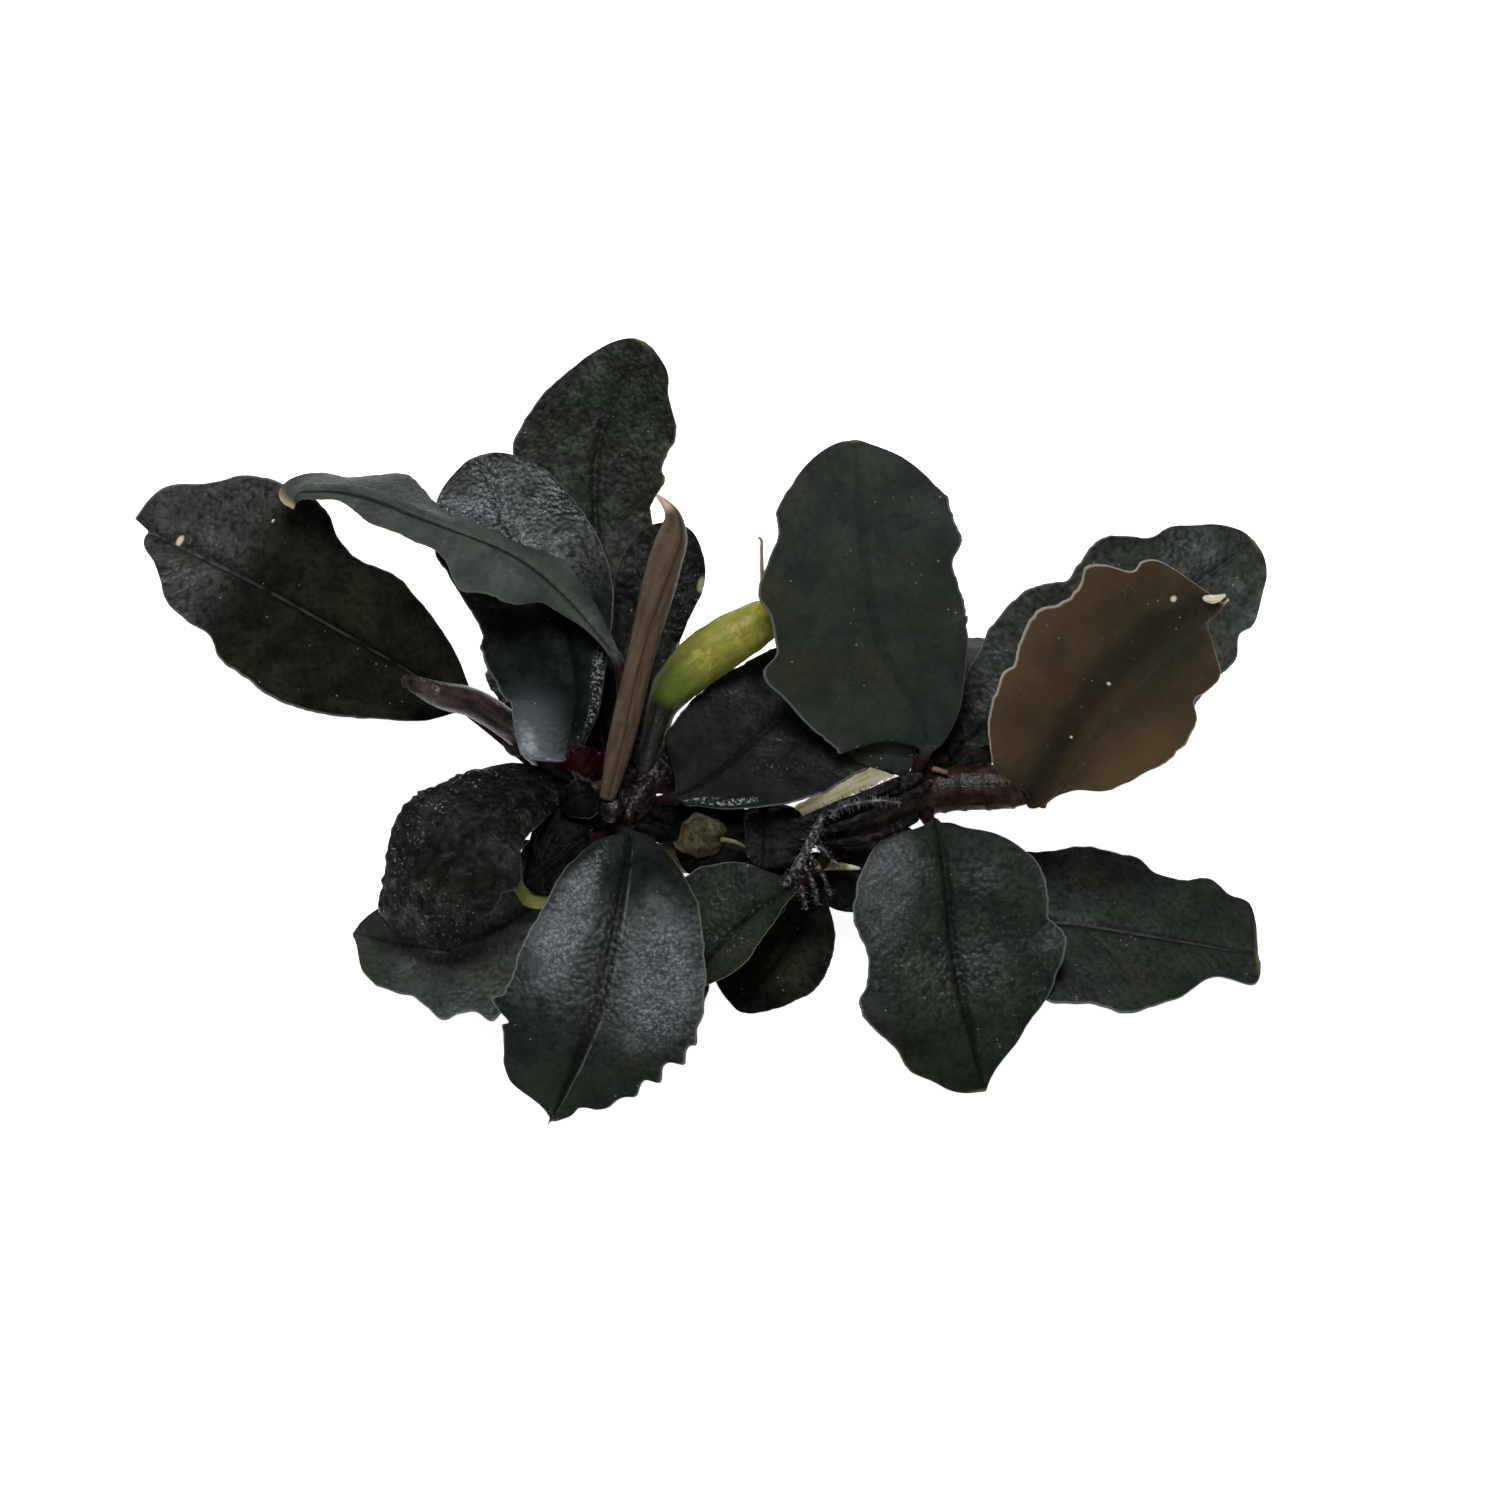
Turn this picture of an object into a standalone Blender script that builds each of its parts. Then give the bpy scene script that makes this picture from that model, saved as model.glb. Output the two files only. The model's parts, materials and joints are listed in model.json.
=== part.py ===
"""Bucephalandra, a small aquarium plant, lying on a surface as it was picked.

All sizes below are in millimetres. X runs along the plant, Y away from the front
leaves and Z up. The leaves, shoots and roots are measured in one common frame,
and PLANT_MIDDLE moves that frame so that the middle of the plant's outline on
the floor is the origin.
"""
import math

import bmesh
import bpy
import numpy as np
from mathutils import Matrix, Vector

MM = 0.001
PLANT_MIDDLE = (-0.93, 1.47, 0.03)
JOIN_GAP = 0.35
WELD = 0.000001

# Leaf blades and their stalks
STALK_RADIUS = 0.65
STALK_FOOT_SWELL = 1.15
STALK_STEP = 1.0
BLADE_THICKNESS = 0.6
RIM_THICKNESS = 0.35
KEEL_DEPTH = 0.35
TIP_WIDTH = 0.15
BLADE_START = 0.05
TIP_START = 0.9
FOLD_POWER = 1.6
FOLD_HALF_WIDTH = 8.0
BLADE_RINGS = 12
STALK_RINGS = 3
COLUMNS = 7

# Resolution of the curves through the given points
CURVE_SAMPLES = 400
TUBE_STEPS = 3

DARK_GREEN = (0.018, 0.028, 0.025)
BLUE_GREEN = (0.020, 0.032, 0.034)
GREY_GREEN = (0.050, 0.075, 0.065)
OLD_GREEN = (0.014, 0.018, 0.014)
BRONZE = (0.110, 0.062, 0.030)
MAROON = (0.040, 0.012, 0.012)
OLIVE_TAN = (0.150, 0.130, 0.070)
MAUVE_BROWN = (0.150, 0.095, 0.080)
YELLOW_GREEN = (0.280, 0.340, 0.060)
PALE_YELLOW = (0.500, 0.480, 0.280)
ROOT_PURPLE = (0.030, 0.018, 0.028)

# Shoots: points along the middle and the radius at each, swollen at the leaf scars
SHOOTS = {
    "left_shoot": dict(
        points=((-8.2, -9, 6.8), (-8.8, -7.6, 10), (-8.9, -6.4, 14.2)),
        radii=(2.6, 2.5, 1.5),
        colour=MAROON,
    ),
    "rhizome": dict(
        points=((-5.2, -8.8, 7), (-1, -8, 6.6), (4, -7.6, 6.8), (9.4, -8.3, 7.3)),
        radii=(2.2, 2.6, 2.2, 2.1),
        colour=OLIVE_TAN,
    ),
    "right_shoot": dict(
        points=((11, -8.2, 7.5), (14, -7.3, 9), (22, -4.6, 11), (30.5, -5.2, 12.5), (33.6, -5.5, 13)),
        radii=(2, 2.3, 2.2, 2, 1.2),
        colour=MAROON,
    ),
}

# Each leaf: the shoot it grows from, its foot there, points on the rest of the
# stalk, points along the midrib from blade base to tip, the way the upper side
# faces, then half-widths to the left and right of the midrib as (fraction of the
# blade, mm). fold is the rise of an edge 8 mm out. wave is (height, waves along
# the blade, start on the left edge, start on the right edge).
LEAVES = {
    "leaf_far_left": dict(
        shoot="left_shoot",
        foot=(-11.6, -5.2, 9.6),
        stalk=((-16.5, -1, 9.6),),
        midrib=((-23.9, 3.8, 13.2), (-39.2, 11.2, 19), (-57.4, 23.2, 19)),
        faces=((-0.1, -0.3, 1),),
        left=((0.03, 0.9), (0.09, 3.7), (0.28, 7.9), (0.46, 9.8), (0.6, 8.9), (0.66, 7.2),
               (0.75, 6.8), (0.83, 5.8), (0.87, 4.4)),
        right=((0.05, 2.2), (0.15, 5), (0.24, 6.6), (0.34, 7.4), (0.45, 7.1), (0.53, 8),
               (0.63, 10.3), (0.74, 10.4), (0.85, 9.4), (0.95, 6.4), (0.985, 4.8)),
        fold=0.8,
        wave=(0.5, 2.5, 0, 0.3),
        colour=DARK_GREEN,
    ),
    "leaf_narrow_left": dict(
        shoot="left_shoot",
        foot=(-8.8, -3.4, 14.2),
        stalk=((-8.5, 0.3, 18),),
        midrib=((-9.2, 4.4, 21), (-11.8, 7.4, 22.5), (-18.5, 12.2, 26.5),
                (-27.7, 15.5, 28.6), (-39.6, 19.9, 28.3), (-41.9, 19.7, 26.6)),
        faces=((0.2, 0.1, 0.95),),
        left=((0.2, 1.5), (0.24, 2.1), (0.28, 4.3), (0.39, 5.1), (0.47, 5.1), (0.52, 3.4),
               (0.6, 2.7), (0.74, 2.1), (0.84, 1)),
        right=((0.06, 1.3), (0.14, 3.5), (0.42, 3.2), (0.47, 2.3), (0.6, 4.7), (0.71, 7.1),
               (0.77, 8.2), (0.82, 6.8), (0.88, 5.2), (0.94, 5.4), (0.975, 2.7)),
        fold=-2.5,
        wave=(0.5, 4, 0, 0.3),
        colour=GREY_GREEN,
    ),
    "leaf_glossy_left": dict(
        shoot="left_shoot",
        foot=(-11.5, -6.3, 13.6),
        stalk=(),
        midrib=((-13.4, -4.3, 15.2), (-12.8, 1.5, 18), (-14.6, 10.3, 20), (-19.8, 19.3, 22), (-23.6, 29.3, 24)),
        faces=((0, -0.3, 1),),
        left=((0.02, 3), (0.06, 6), (0.12, 7.4), (0.28, 7.8), (0.42, 7.2), (0.56, 7.8), (0.76, 7.8),
               (0.84, 6.2), (0.9, 5.8), (0.96, 3.5)),
        right=((0.24, 2.6), (0.4, 4.8), (0.53, 7), (0.72, 7.4), (0.88, 6), (0.95, 4)),
        fold=0,
        wave=(0.3, 3, 0, 0.3),
        colour=BLUE_GREEN,
    ),
    "leaf_top": dict(
        shoot="left_shoot",
        foot=(-9, -3.4, 10),
        stalk=((-9, 2, 11.4),),
        midrib=((-9.3, 8, 13.5), (-11.4, 20, 18), (-11.4, 31.5, 24), (-6.8, 39.7, 30)),
        faces=((0, -0.3, 1), (0, -0.4, 1)),
        left=((0.2, 3), (0.48, 5.4), (0.6, 7.8), (0.64, 8.2), (0.7, 7.6), (0.81, 6.6), (0.93, 3.9)),
        right=((0.36, 4.8), (0.45, 5.8), (0.49, 5.6), (0.57, 7.2), (0.63, 6.9), (0.81, 7.2),
               (0.89, 5.2), (0.96, 3.5)),
        fold=0.6,
        wave=(0.4, 3, 0, 0.4),
        colour=DARK_GREEN,
    ),
    "leaf_behind_new_leaf": dict(
        shoot="left_shoot",
        foot=(-8, -4, 12),
        stalk=(),
        midrib=((-7.2, 0, 12.6), (-5.8, 11.5, 17), (-3.1, 20.6, 23)),
        faces=((0, -0.3, 1), (0, -0.4, 1)),
        left=((0.24, 2.7), (0.53, 4.1), (0.71, 4.9), (0.93, 3.6)),
        right=((0.26, 2.6), (0.49, 3.6), (0.82, 3.5), (0.94, 2.5)),
        fold=0.3,
        wave=(0.3, 3, 0, 0.4),
        colour=DARK_GREEN,
    ),
    "leaf_large_centre": dict(
        shoot="right_shoot",
        foot=(20.6, -4.3, 13.6),
        stalk=(),
        midrib=((21.3, -3.2, 15.2), (16.8, 4.9, 23), (15.4, 11.1, 28), (14.5, 22.7, 33)),
        faces=((0, -0.6, 0.8),),
        left=((0.04, 1.6), (0.08, 4.4), (0.13, 8), (0.22, 9.4), (0.28, 10.2), (0.36, 10.7),
               (0.4, 8.8), (0.44, 9.4), (0.56, 10.9), (0.7, 8.5), (0.85, 7.2), (0.95, 4.5)),
        right=((0.05, 2), (0.28, 8.6), (0.5, 8.7), (0.57, 8.5), (0.63, 9.7), (0.74, 9), (0.79, 9.1),
               (0.93, 5.2), (0.985, 1.2)),
        fold=0.4,
        wave=(0.4, 3, 0, 0.4),
        colour=DARK_GREEN,
    ),
    "leaf_right_back": dict(
        shoot="right_shoot",
        foot=(24.2, -2.8, 11.8),
        stalk=(),
        midrib=((25.6, -0.6, 13.4), (37.8, 5, 20), (54.4, 15.4, 26)),
        faces=((0, -0.35, 0.94),),
        left=((0.16, 5.7), (0.38, 8.3), (0.5, 7.9), (0.68, 9.2), (0.77, 6.5), (0.82, 6.5), (0.9, 5)),
        right=((0.15, 3), (0.36, 7.3), (0.53, 10.6), (0.66, 9.2), (0.75, 8.4), (0.79, 6.9),
               (0.84, 6.9), (0.91, 5.1)),
        fold=0.4,
        wave=(0.4, 3, 0, 0.4),
        colour=DARK_GREEN,
    ),
    "leaf_brown": dict(
        shoot="right_shoot",
        foot=(31.5, -6.6, 14),
        stalk=(),
        midrib=((31.6, -8.6, 15), (39.8, -4.8, 26), (49.6, -1.2, 36)),
        faces=((0, 0.95, -0.3),),
        left=((0.02, 1.6), (0.13, 1.4), (0.17, 2.4), (0.2, 4.2), (0.24, 5.5), (0.45, 7.8),
               (0.61, 7.1), (0.66, 5.9), (0.79, 5.8), (0.88, 1.2), (0.94, 0.5)),
        right=((0.03, 2.6), (0.07, 5.8), (0.12, 7.3), (0.31, 10.4), (0.37, 10.9), (0.42, 10.5),
               (0.57, 12.3), (0.69, 10.9), (0.76, 12), (0.81, 11.2), (0.85, 8.9), (0.9, 8.6),
               (0.945, 6.6), (0.97, 1.2)),
        fold=0.3,
        wave=(0.3, 4, 0, 0.4),
        colour=BRONZE,
    ),
    "leaf_under_centre": dict(
        shoot="left_shoot",
        foot=(-5.6, -7.4, 12.6),
        stalk=(),
        midrib=((-3.3, -7.4, 13.6), (7, 1.4, 15), (19.2, 11.6, 14)),
        faces=((0, -0.2, 1),),
        left=((0.04, 3.4), (0.17, 6), (0.3, 6.6), (0.5, 6.4), (0.85, 5)),
        right=((0.05, 1.8), (0.18, 6), (0.24, 7.8), (0.47, 9.9), (0.6, 10.2), (0.85, 6)),
        fold=0.4,
        wave=(0.2, 3, 0, 0.4),
        colour=BLUE_GREEN,
    ),
    "leaf_hidden_back": dict(
        shoot="right_shoot",
        foot=(22.4, -1.8, 9.6),
        stalk=(),
        midrib=((24, 3, 10), (27, 16, 7), (27.5, 25.3, 0.25)),
        faces=((0, 0.1, 1),),
        left=((0.2, 2.8), (0.5, 5), (0.8, 4)),
        right=((0.2, 2.4), (0.5, 3.6), (0.8, 3)),
        fold=0,
        wave=(0.2, 3, 0, 0.4),
        colour=OLD_GREEN,
    ),
    "leaf_hidden_left": dict(
        shoot="left_shoot",
        foot=(-9.2, -4, 7.4),
        stalk=((-11.5, -1, 7.6),),
        midrib=((-15, 4, 8.4), (-19, 13, 6), (-22, 22, 0.25)),
        faces=((0, 0.1, 1),),
        left=((0.2, 2.4), (0.5, 3.2), (0.8, 2.8)),
        right=((0.2, 2.4), (0.5, 3.4), (0.8, 2.8)),
        fold=0,
        wave=(0.2, 3, 0, 0.4),
        colour=OLD_GREEN,
    ),
    "leaf_old_pitted": dict(
        shoot="left_shoot",
        foot=(-11.6, -8.4, 10.4),
        stalk=(),
        midrib=((-14.8, -7.2, 12.4), (-23.2, -13.5, 14.5), (-26.7, -17.4, 11), (-26.6, -20.1, 5)),
        faces=((0, 0, 1), (-0.2, -0.3, 1), (-0.4, -0.6, 0.6)),
        left=((0.14, 2.6), (0.36, 4.4), (0.47, 7), (0.55, 6), (0.67, 6.1), (0.87, 4.1)),
        right=((0.06, 3.4), (0.17, 5.4), (0.21, 6.6), (0.33, 7.2), (0.41, 8.4), (0.58, 7.8),
               (0.72, 6.7), (0.86, 6.2), (0.94, 4.2)),
        fold=-1,
        wave=(0.4, 3, 0, 0.4),
        colour=OLD_GREEN,
    ),
    "leaf_low_left": dict(
        shoot="left_shoot",
        foot=(-11, -9.3, 8.6),
        stalk=(),
        midrib=((-13.3, -12, 8), (-18, -16, 6), (-24, -17.8, 3.6), (-35.7, -14.2, 0.4)),
        faces=((0, 0, 1),),
        left=((0.15, 4), (0.31, 9.6), (0.43, 9.5), (0.46, 10.3), (0.49, 8.8), (0.56, 9.7), (0.6, 8),
               (0.85, 3.8), (0.96, 1.1)),
        right=((0.15, 3), (0.33, 5.6), (0.6, 6), (0.8, 5.4), (0.93, 4.4)),
        fold=0.3,
        wave=(0.3, 4, 0, 0.4),
        colour=DARK_GREEN,
    ),
    "leaf_large_front": dict(
        shoot="left_shoot",
        foot=(-8.6, -10.2, 12),
        stalk=(),
        midrib=((-7.9, -12, 13.6), (-8.6, -19.4, 12.5), (-10.5, -28.1, 8), (-15.1, -36.9, 0.3)),
        faces=((0, -0.2, 1), (0, -0.35, 1)),
        left=((0.04, 1.9), (0.12, 5.1), (0.47, 9.6), (0.58, 10.2), (0.75, 7.2), (0.96, 0.6)),
        right=((0.17, 5.5), (0.74, 8.6), (0.92, 5.6), (0.95, 4), (0.97, 1)),
        fold=0.4,
        wave=(0.4, 4, 0, 0.4),
        colour=BLUE_GREEN,
    ),
    "leaf_grey_front": dict(
        shoot="right_shoot",
        foot=(11.8, -10.6, 9.2),
        stalk=(),
        midrib=((8.4, -16.4, 11), (4, -18.9, 9), (-1.9, -24.1, 5)),
        faces=((0, -0.2, 1),),
        left=((0.1, 1), (0.43, 2.6), (0.7, 2.8), (0.9, 1.6)),
        right=((0.1, 3), (0.24, 5.4), (0.46, 7.8), (0.76, 6.6), (0.9, 4)),
        fold=0,
        wave=(0.2, 3, 0, 0.4),
        colour=GREY_GREEN,
    ),
    "leaf_dark_front": dict(
        shoot="right_shoot",
        foot=(10.8, -10.2, 7),
        stalk=(),
        midrib=((10.1, -13.4, 7.4), (7.9, -18.2, 4.2), (2.5, -23.4, 0.3)),
        faces=((0, 0, 1),),
        left=((0.1, 2.2), (0.51, 5), (0.9, 2.3)),
        right=((0.24, 3.5), (0.6, 5.4), (0.85, 4.7)),
        fold=0,
        wave=(0.2, 3, 0, 0.4),
        colour=OLD_GREEN,
    ),
    "leaf_front_right": dict(
        shoot="right_shoot",
        foot=(21.6, -7.6, 10.6),
        stalk=(),
        midrib=((22.2, -9.6, 12), (24, -22.1, 6.5), (26.8, -33.4, 0.3)),
        faces=((0, -0.25, 1),),
        left=((0.16, 7.2), (0.2, 8.9), (0.42, 9.9), (0.47, 10.8), (0.65, 9.5), (0.92, 2)),
        right=((0.14, 7.6), (0.36, 9.4), (0.56, 9.1), (0.61, 10.1), (0.78, 7.6), (0.88, 6.6),
               (0.93, 4.7), (0.97, 3.4)),
        fold=0.6,
        wave=(0.4, 4, 0, 0.4),
        colour=DARK_GREEN,
    ),
    "leaf_low_right": dict(
        shoot="right_shoot",
        foot=(14.2, -10, 7),
        stalk=(),
        midrib=((15, -12.6, 7), (22.7, -13.8, 4.4), (38.5, -16, 3.6), (53.9, -17, 0.4)),
        faces=((0, 0, 1),),
        left=((0.1, 4), (0.3, 6.6), (0.38, 8.2), (0.64, 9.7), (0.7, 9.6), (0.73, 8.5), (0.81, 7.6),
               (0.88, 8.7), (0.93, 7.1), (0.985, 5.9)),
        right=((0.12, 3.8), (0.35, 8.1), (0.47, 9.3), (0.5, 10.2), (0.61, 9.5), (0.66, 10.2),
               (0.86, 4.3), (0.95, 3.6)),
        fold=0.3,
        wave=(0.3, 4, 0, 0.4),
        colour=DARK_GREEN,
    ),
    "leaf_small_middle": dict(
        shoot="rhizome",
        foot=(5, -9.1, 8.9),
        stalk=(),
        midrib=((5, -10.9, 9.4), (5.2, -14.2, 8.6), (5, -17.8, 6.8)),
        faces=((0, -0.2, 1),),
        left=((0.3, 2.4), (0.7, 2.6)),
        right=((0.3, 2), (0.7, 2)),
        fold=0,
        wave=(0.1, 3, 0, 0.4),
        colour=OLD_GREEN,
    ),
    "leaf_inner_front": dict(
        shoot="left_shoot",
        foot=(-10.4, -9.8, 10.6),
        stalk=(),
        midrib=((-12, -10.8, 11.4), (-14.8, -12.8, 10.6), (-18, -15, 9)),
        faces=((0, -0.2, 1),),
        left=((0.2, 2.6), (0.6, 3)),
        right=((0.15, 3), (0.5, 3.4), (0.8, 2)),
        fold=0,
        wave=(0.1, 3, 0, 0.4),
        colour=OLD_GREEN,
    ),
}

# A new leaf still rolled up, the stump of a second one, the flower's spathe and
# an old leaf stalk: points along the middle and the radius at each
ROLLED_NEW_LEAF = dict(
    points=((-9.9, -8.3, 15.3), (-8.7, -5, 18.4), (-6.4, 2.2, 25), (-4, 8.8, 31.8), (-4.8, 11.7, 36.1)),
    radii=(0.9, 1.3, 1.55, 1.85, 0.25),
    colour=MAUVE_BROWN,
)
ROLLED_STUMP = dict(
    points=((-11.6, -6.5, 11.8), (-15.6, -3.6, 12.2), (-19.2, 0.3, 14), (-23.8, 1.2, 17), (-28.3, 1.4, 19.4)),
    radii=(1, 1.1, 1.35, 1.45, 1.45),
    colour=MAUVE_BROWN,
)
STUMP_BORE_RADIUS = 0.95
STUMP_BORE_DEPTH = 3.0
STUMP_BORE_OVERRUN = 1.0
SPATHE = dict(
    points=((-6.9, -5.3, 13.4), (-4.6, -0.1, 15.8), (-3.1, 2.4, 17.6), (2.3, 7.2, 20.1), (7, 10.6, 20.9)),
    radii=(0.95, 1.1, 2.1, 2.65, 1.5),
    colour=YELLOW_GREEN,
)
OLD_STALK = dict(
    points=((18.3, -1.1, 10.5), (13, -3.9, 10.4), (8.4, -6.2, 9.6)),
    radii=(0.7, 0.8, 0.7),
    colour=PALE_YELLOW,
)
UPPER_ROOT = dict(
    points=((18.6, -6, 13.5), (14.8, -7.6, 12.6), (9.4, -9.3, 10.5), (7.4, -10.8, 8.6)),
    radii=(0.6, 0.8, 0.7, 0.4),
    colour=ROOT_PURPLE,
)

# Wiry roots from the rhizome down to the floor
ROOT_RADIUS = 0.5
ROOT_PATHS = {
    "root_left": ((-9.4, -8.8, 5.6), (-12, -7, 3), (-17, -4, 1.6), (-23, -3, 0.5)),
    "root_left_back": ((-4.6, -6.6, 5), (-5, -2, 3.4), (-8, 5, 1.2), (-7, 12, 0.5)),
    "root_middle": ((0, -9.8, 4.2), (-1, -12, 3), (0, -17, 1.4), (-1.4, -24, 0.5)),
    "root_back": ((5.6, -5.8, 4.8), (6, -2, 3.6), (4.6, 6, 1.2), (6, 13, 0.5)),
    "root_right": ((15.4, -8, 6.6), (17, -9, 4), (20, -6, 1.4), (28, -5, 0.5)),
    "root_right_back": ((19, -4, 7.9), (18, -1, 4.6), (15, 4, 1.6), (16, 11, 0.5)),
}

# Bevel resolution of the round pieces: twice this plus four sides
THICK_BEVEL = 4
MIDDLE_BEVEL = 3
THIN_BEVEL = 1


def unit(vectors):
    """Vectors scaled to length one."""
    vectors = np.asarray(vectors, float)
    return vectors / np.maximum(np.linalg.norm(vectors, axis=-1, keepdims=True), 1e-12)


def ease(x):
    """Smooth step from 0 to 1."""
    x = np.clip(x, 0, 1)
    return x * x * (3 - 2 * x)


def smooth(knots, values, at):
    """Smooth curve through the values at the knots."""
    knots = np.asarray(knots, float)
    values = np.asarray(values, float)
    if values.ndim == 1:
        return smooth(knots, values[:, None], at)[:, 0]
    step = np.diff(knots)
    slope = np.diff(values, axis=0) / step[:, None]
    tangent = np.empty_like(values)
    if len(knots) == 2:
        tangent[:] = slope[0]
    else:
        share = (step[1:] / (step[1:] + step[:-1]))[:, None]
        tangent[1:-1] = slope[:-1] * share + slope[1:] * (1 - share)
        tangent[0] = 1.5 * slope[0] - 0.5 * tangent[1]
        tangent[-1] = 1.5 * slope[-1] - 0.5 * tangent[-2]
    at = np.clip(np.asarray(at, float), knots[0], knots[-1])
    i = np.clip(np.searchsorted(knots, at, side="right") - 1, 0, len(knots) - 2)
    h = step[i][:, None]
    t = ((at - knots[i]) / step[i])[:, None]
    return (
        (2 * t**3 - 3 * t**2 + 1) * values[i]
        + (t**3 - 2 * t**2 + t) * h * tangent[i]
        + (3 * t**2 - 2 * t**3) * values[i + 1]
        + (t**3 - t**2) * h * tangent[i + 1]
    )


def chord_knots(points):
    """Knots from 0 to 1 by the distance between the points."""
    chord = np.r_[0, np.cumsum(np.linalg.norm(np.diff(points, axis=0), axis=1))]
    return chord / chord[-1]


def half_width(pairs, s):
    """Half-width of a blade at fraction s, rounded off at base and tip."""
    stations = np.array([0] + [station for station, _ in pairs] + [1], float)
    widths = np.array([STALK_RADIUS] + [width for _, width in pairs] + [TIP_WIDTH], float)
    turned = smooth(np.arccos(1 - 2 * stations), widths, np.arccos(1 - 2 * np.clip(s, 0, 1)))
    return np.maximum(turned, 0.02)


def seat_on_shoot(foot, shoot):
    """Point just outside the shoot's skin nearest the foot, and the way out."""
    points = np.array(SHOOTS[shoot]["points"], float)
    knots = chord_knots(points)
    along = np.linspace(0, 1, CURVE_SAMPLES // 2)
    middle = smooth(knots, points, along)
    radius = smooth(knots, SHOOTS[shoot]["radii"], along)
    nearest = np.linalg.norm(middle - foot, axis=1).argmin()
    outward = unit(foot - middle[nearest])
    return middle[nearest] + outward * (radius[nearest] + JOIN_GAP), outward


def leaf_curve(leaf):
    """Middle line of stalk and blade, sampled evenly, and where the blade starts."""
    seat, outward = seat_on_shoot(np.array(leaf["foot"], float), leaf["shoot"])
    stalk = [seat, seat + outward * STALK_STEP] + list(leaf["stalk"])
    points = np.array(stalk + list(leaf["midrib"]), float)
    knots = chord_knots(points)
    along = np.linspace(0, 1, CURVE_SAMPLES)
    line = smooth(knots, points, along)
    length = np.r_[0, np.cumsum(np.linalg.norm(np.diff(line, axis=0), axis=1))]
    blade_from = np.interp(knots[len(stalk)], along, length)
    return points, knots, along, length, blade_from


def leaf_place(leaf, curve, s):
    """Point, side and normal of the leaf at blade fraction s; below 0 is the stalk."""
    points, knots, along, length, blade_from = curve
    at = np.interp(blade_from + s * (length[-1] - blade_from), length, along)
    nearby = 0.004
    ahead = smooth(knots, points, [min(at + nearby, 1)])[0]
    behind = smooth(knots, points, [max(at - nearby, 0)])[0]
    forward = unit(ahead - behind)
    faces = np.array(leaf["faces"] if len(leaf["faces"]) > 1 else leaf["faces"] * 2, float)
    face = smooth(np.linspace(0, 1, len(faces)), faces, [np.clip(s, 0, 1)])[0]
    side = unit(np.cross(forward, face))
    return smooth(knots, points, [at])[0], side, np.cross(side, forward)


def leaf_ring(leaf, curve, s, swell):
    """Closed section of the leaf at blade fraction s, left edge first, over the top."""
    point, side, normal = leaf_place(leaf, curve, s)
    across = np.sin(np.linspace(-1, 1, COLUMNS) * 0.45 * math.pi) / math.sin(0.45 * math.pi)
    inside = np.full(COLUMNS, np.clip(s, 0, 1))
    width = np.where(across < 0, half_width(leaf["left"], inside), half_width(leaf["right"], inside))
    height, count, start_left, start_right = leaf["wave"]
    start = np.where(across < 0, start_left, start_right)
    rise = leaf["fold"] * np.abs(across) ** FOLD_POWER * width / FOLD_HALF_WIDTH
    ends = math.sin(math.pi * inside[0]) ** 0.5 if 0 < s < 1 else 0
    rise = rise + height * ends * across**2 * np.sin(2 * math.pi * (count * inside + start))
    thickness = RIM_THICKNESS + (BLADE_THICKNESS - RIM_THICKNESS) * (1 - np.abs(across) ** 1.5)
    thickness = thickness * (1 - 0.5 * ease((s - TIP_START) / (1 - TIP_START)))
    keel = np.where(np.abs(across) < 0.01, KEEL_DEPTH * (1 - 0.7 * ease(s)), 0)
    turn = math.pi * (1 - (np.arange(COLUMNS) + 0.5) / COLUMNS)
    flat = ease(s / BLADE_START)
    round_x = STALK_RADIUS * swell * np.cos(turn)
    round_z = STALK_RADIUS * swell * np.sin(turn)
    x = (1 - flat) * round_x + flat * across * width
    upper = (1 - flat) * round_z + flat * (rise + thickness / 2)
    lower = -(1 - flat) * round_z + flat * (rise - thickness / 2 - keel)
    over = point + x[:, None] * side + upper[:, None] * normal
    under = point + x[:, None] * side + lower[:, None] * normal
    return np.vstack((over, under[::-1]))


def leaf_rings(leaf):
    """Sections from the foot of the stalk to the tip of the blade."""
    curve = leaf_curve(leaf)
    stalk_part = curve[4] / (curve[3][-1] - curve[4])
    on_stalk = -stalk_part * (1 - np.linspace(0, 1, STALK_RINGS)[:-1])
    even = np.linspace(0, 1, BLADE_RINGS)
    crowded = (1 - np.cos(even * math.pi)) / 2
    on_blade = 0.45 * even + 0.55 * crowded
    rings = []
    for s in np.r_[on_stalk, on_blade]:
        swell = STALK_FOOT_SWELL if s <= on_stalk[0] else 1
        rings.append(leaf_ring(leaf, curve, s, swell))
    return rings


def loft(name, rings):
    """Closed mesh object from rings of equal count, with a fan over each end."""
    count = len(rings[0])
    corners = [tuple(MM * corner) for ring in rings for corner in ring]
    corners.append(tuple(MM * rings[0].mean(axis=0)))
    corners.append(tuple(MM * rings[-1].mean(axis=0)))
    first_end = len(corners) - 2
    last_end = len(corners) - 1
    faces = []
    for i in range(len(rings) - 1):
        for j in range(count):
            k = (j + 1) % count
            a, b = i * count, (i + 1) * count
            faces.append((a + j, b + k, b + j))
            faces.append((a + j, a + k, b + k))
    last = (len(rings) - 1) * count
    for j in range(count):
        k = (j + 1) % count
        faces.append((first_end, k, j))
        faces.append((last_end, last + j, last + k))
    mesh = bpy.data.meshes.new(name)
    mesh.from_pydata(corners, [], faces)
    return bpy.data.objects.new(name, mesh)


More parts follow.
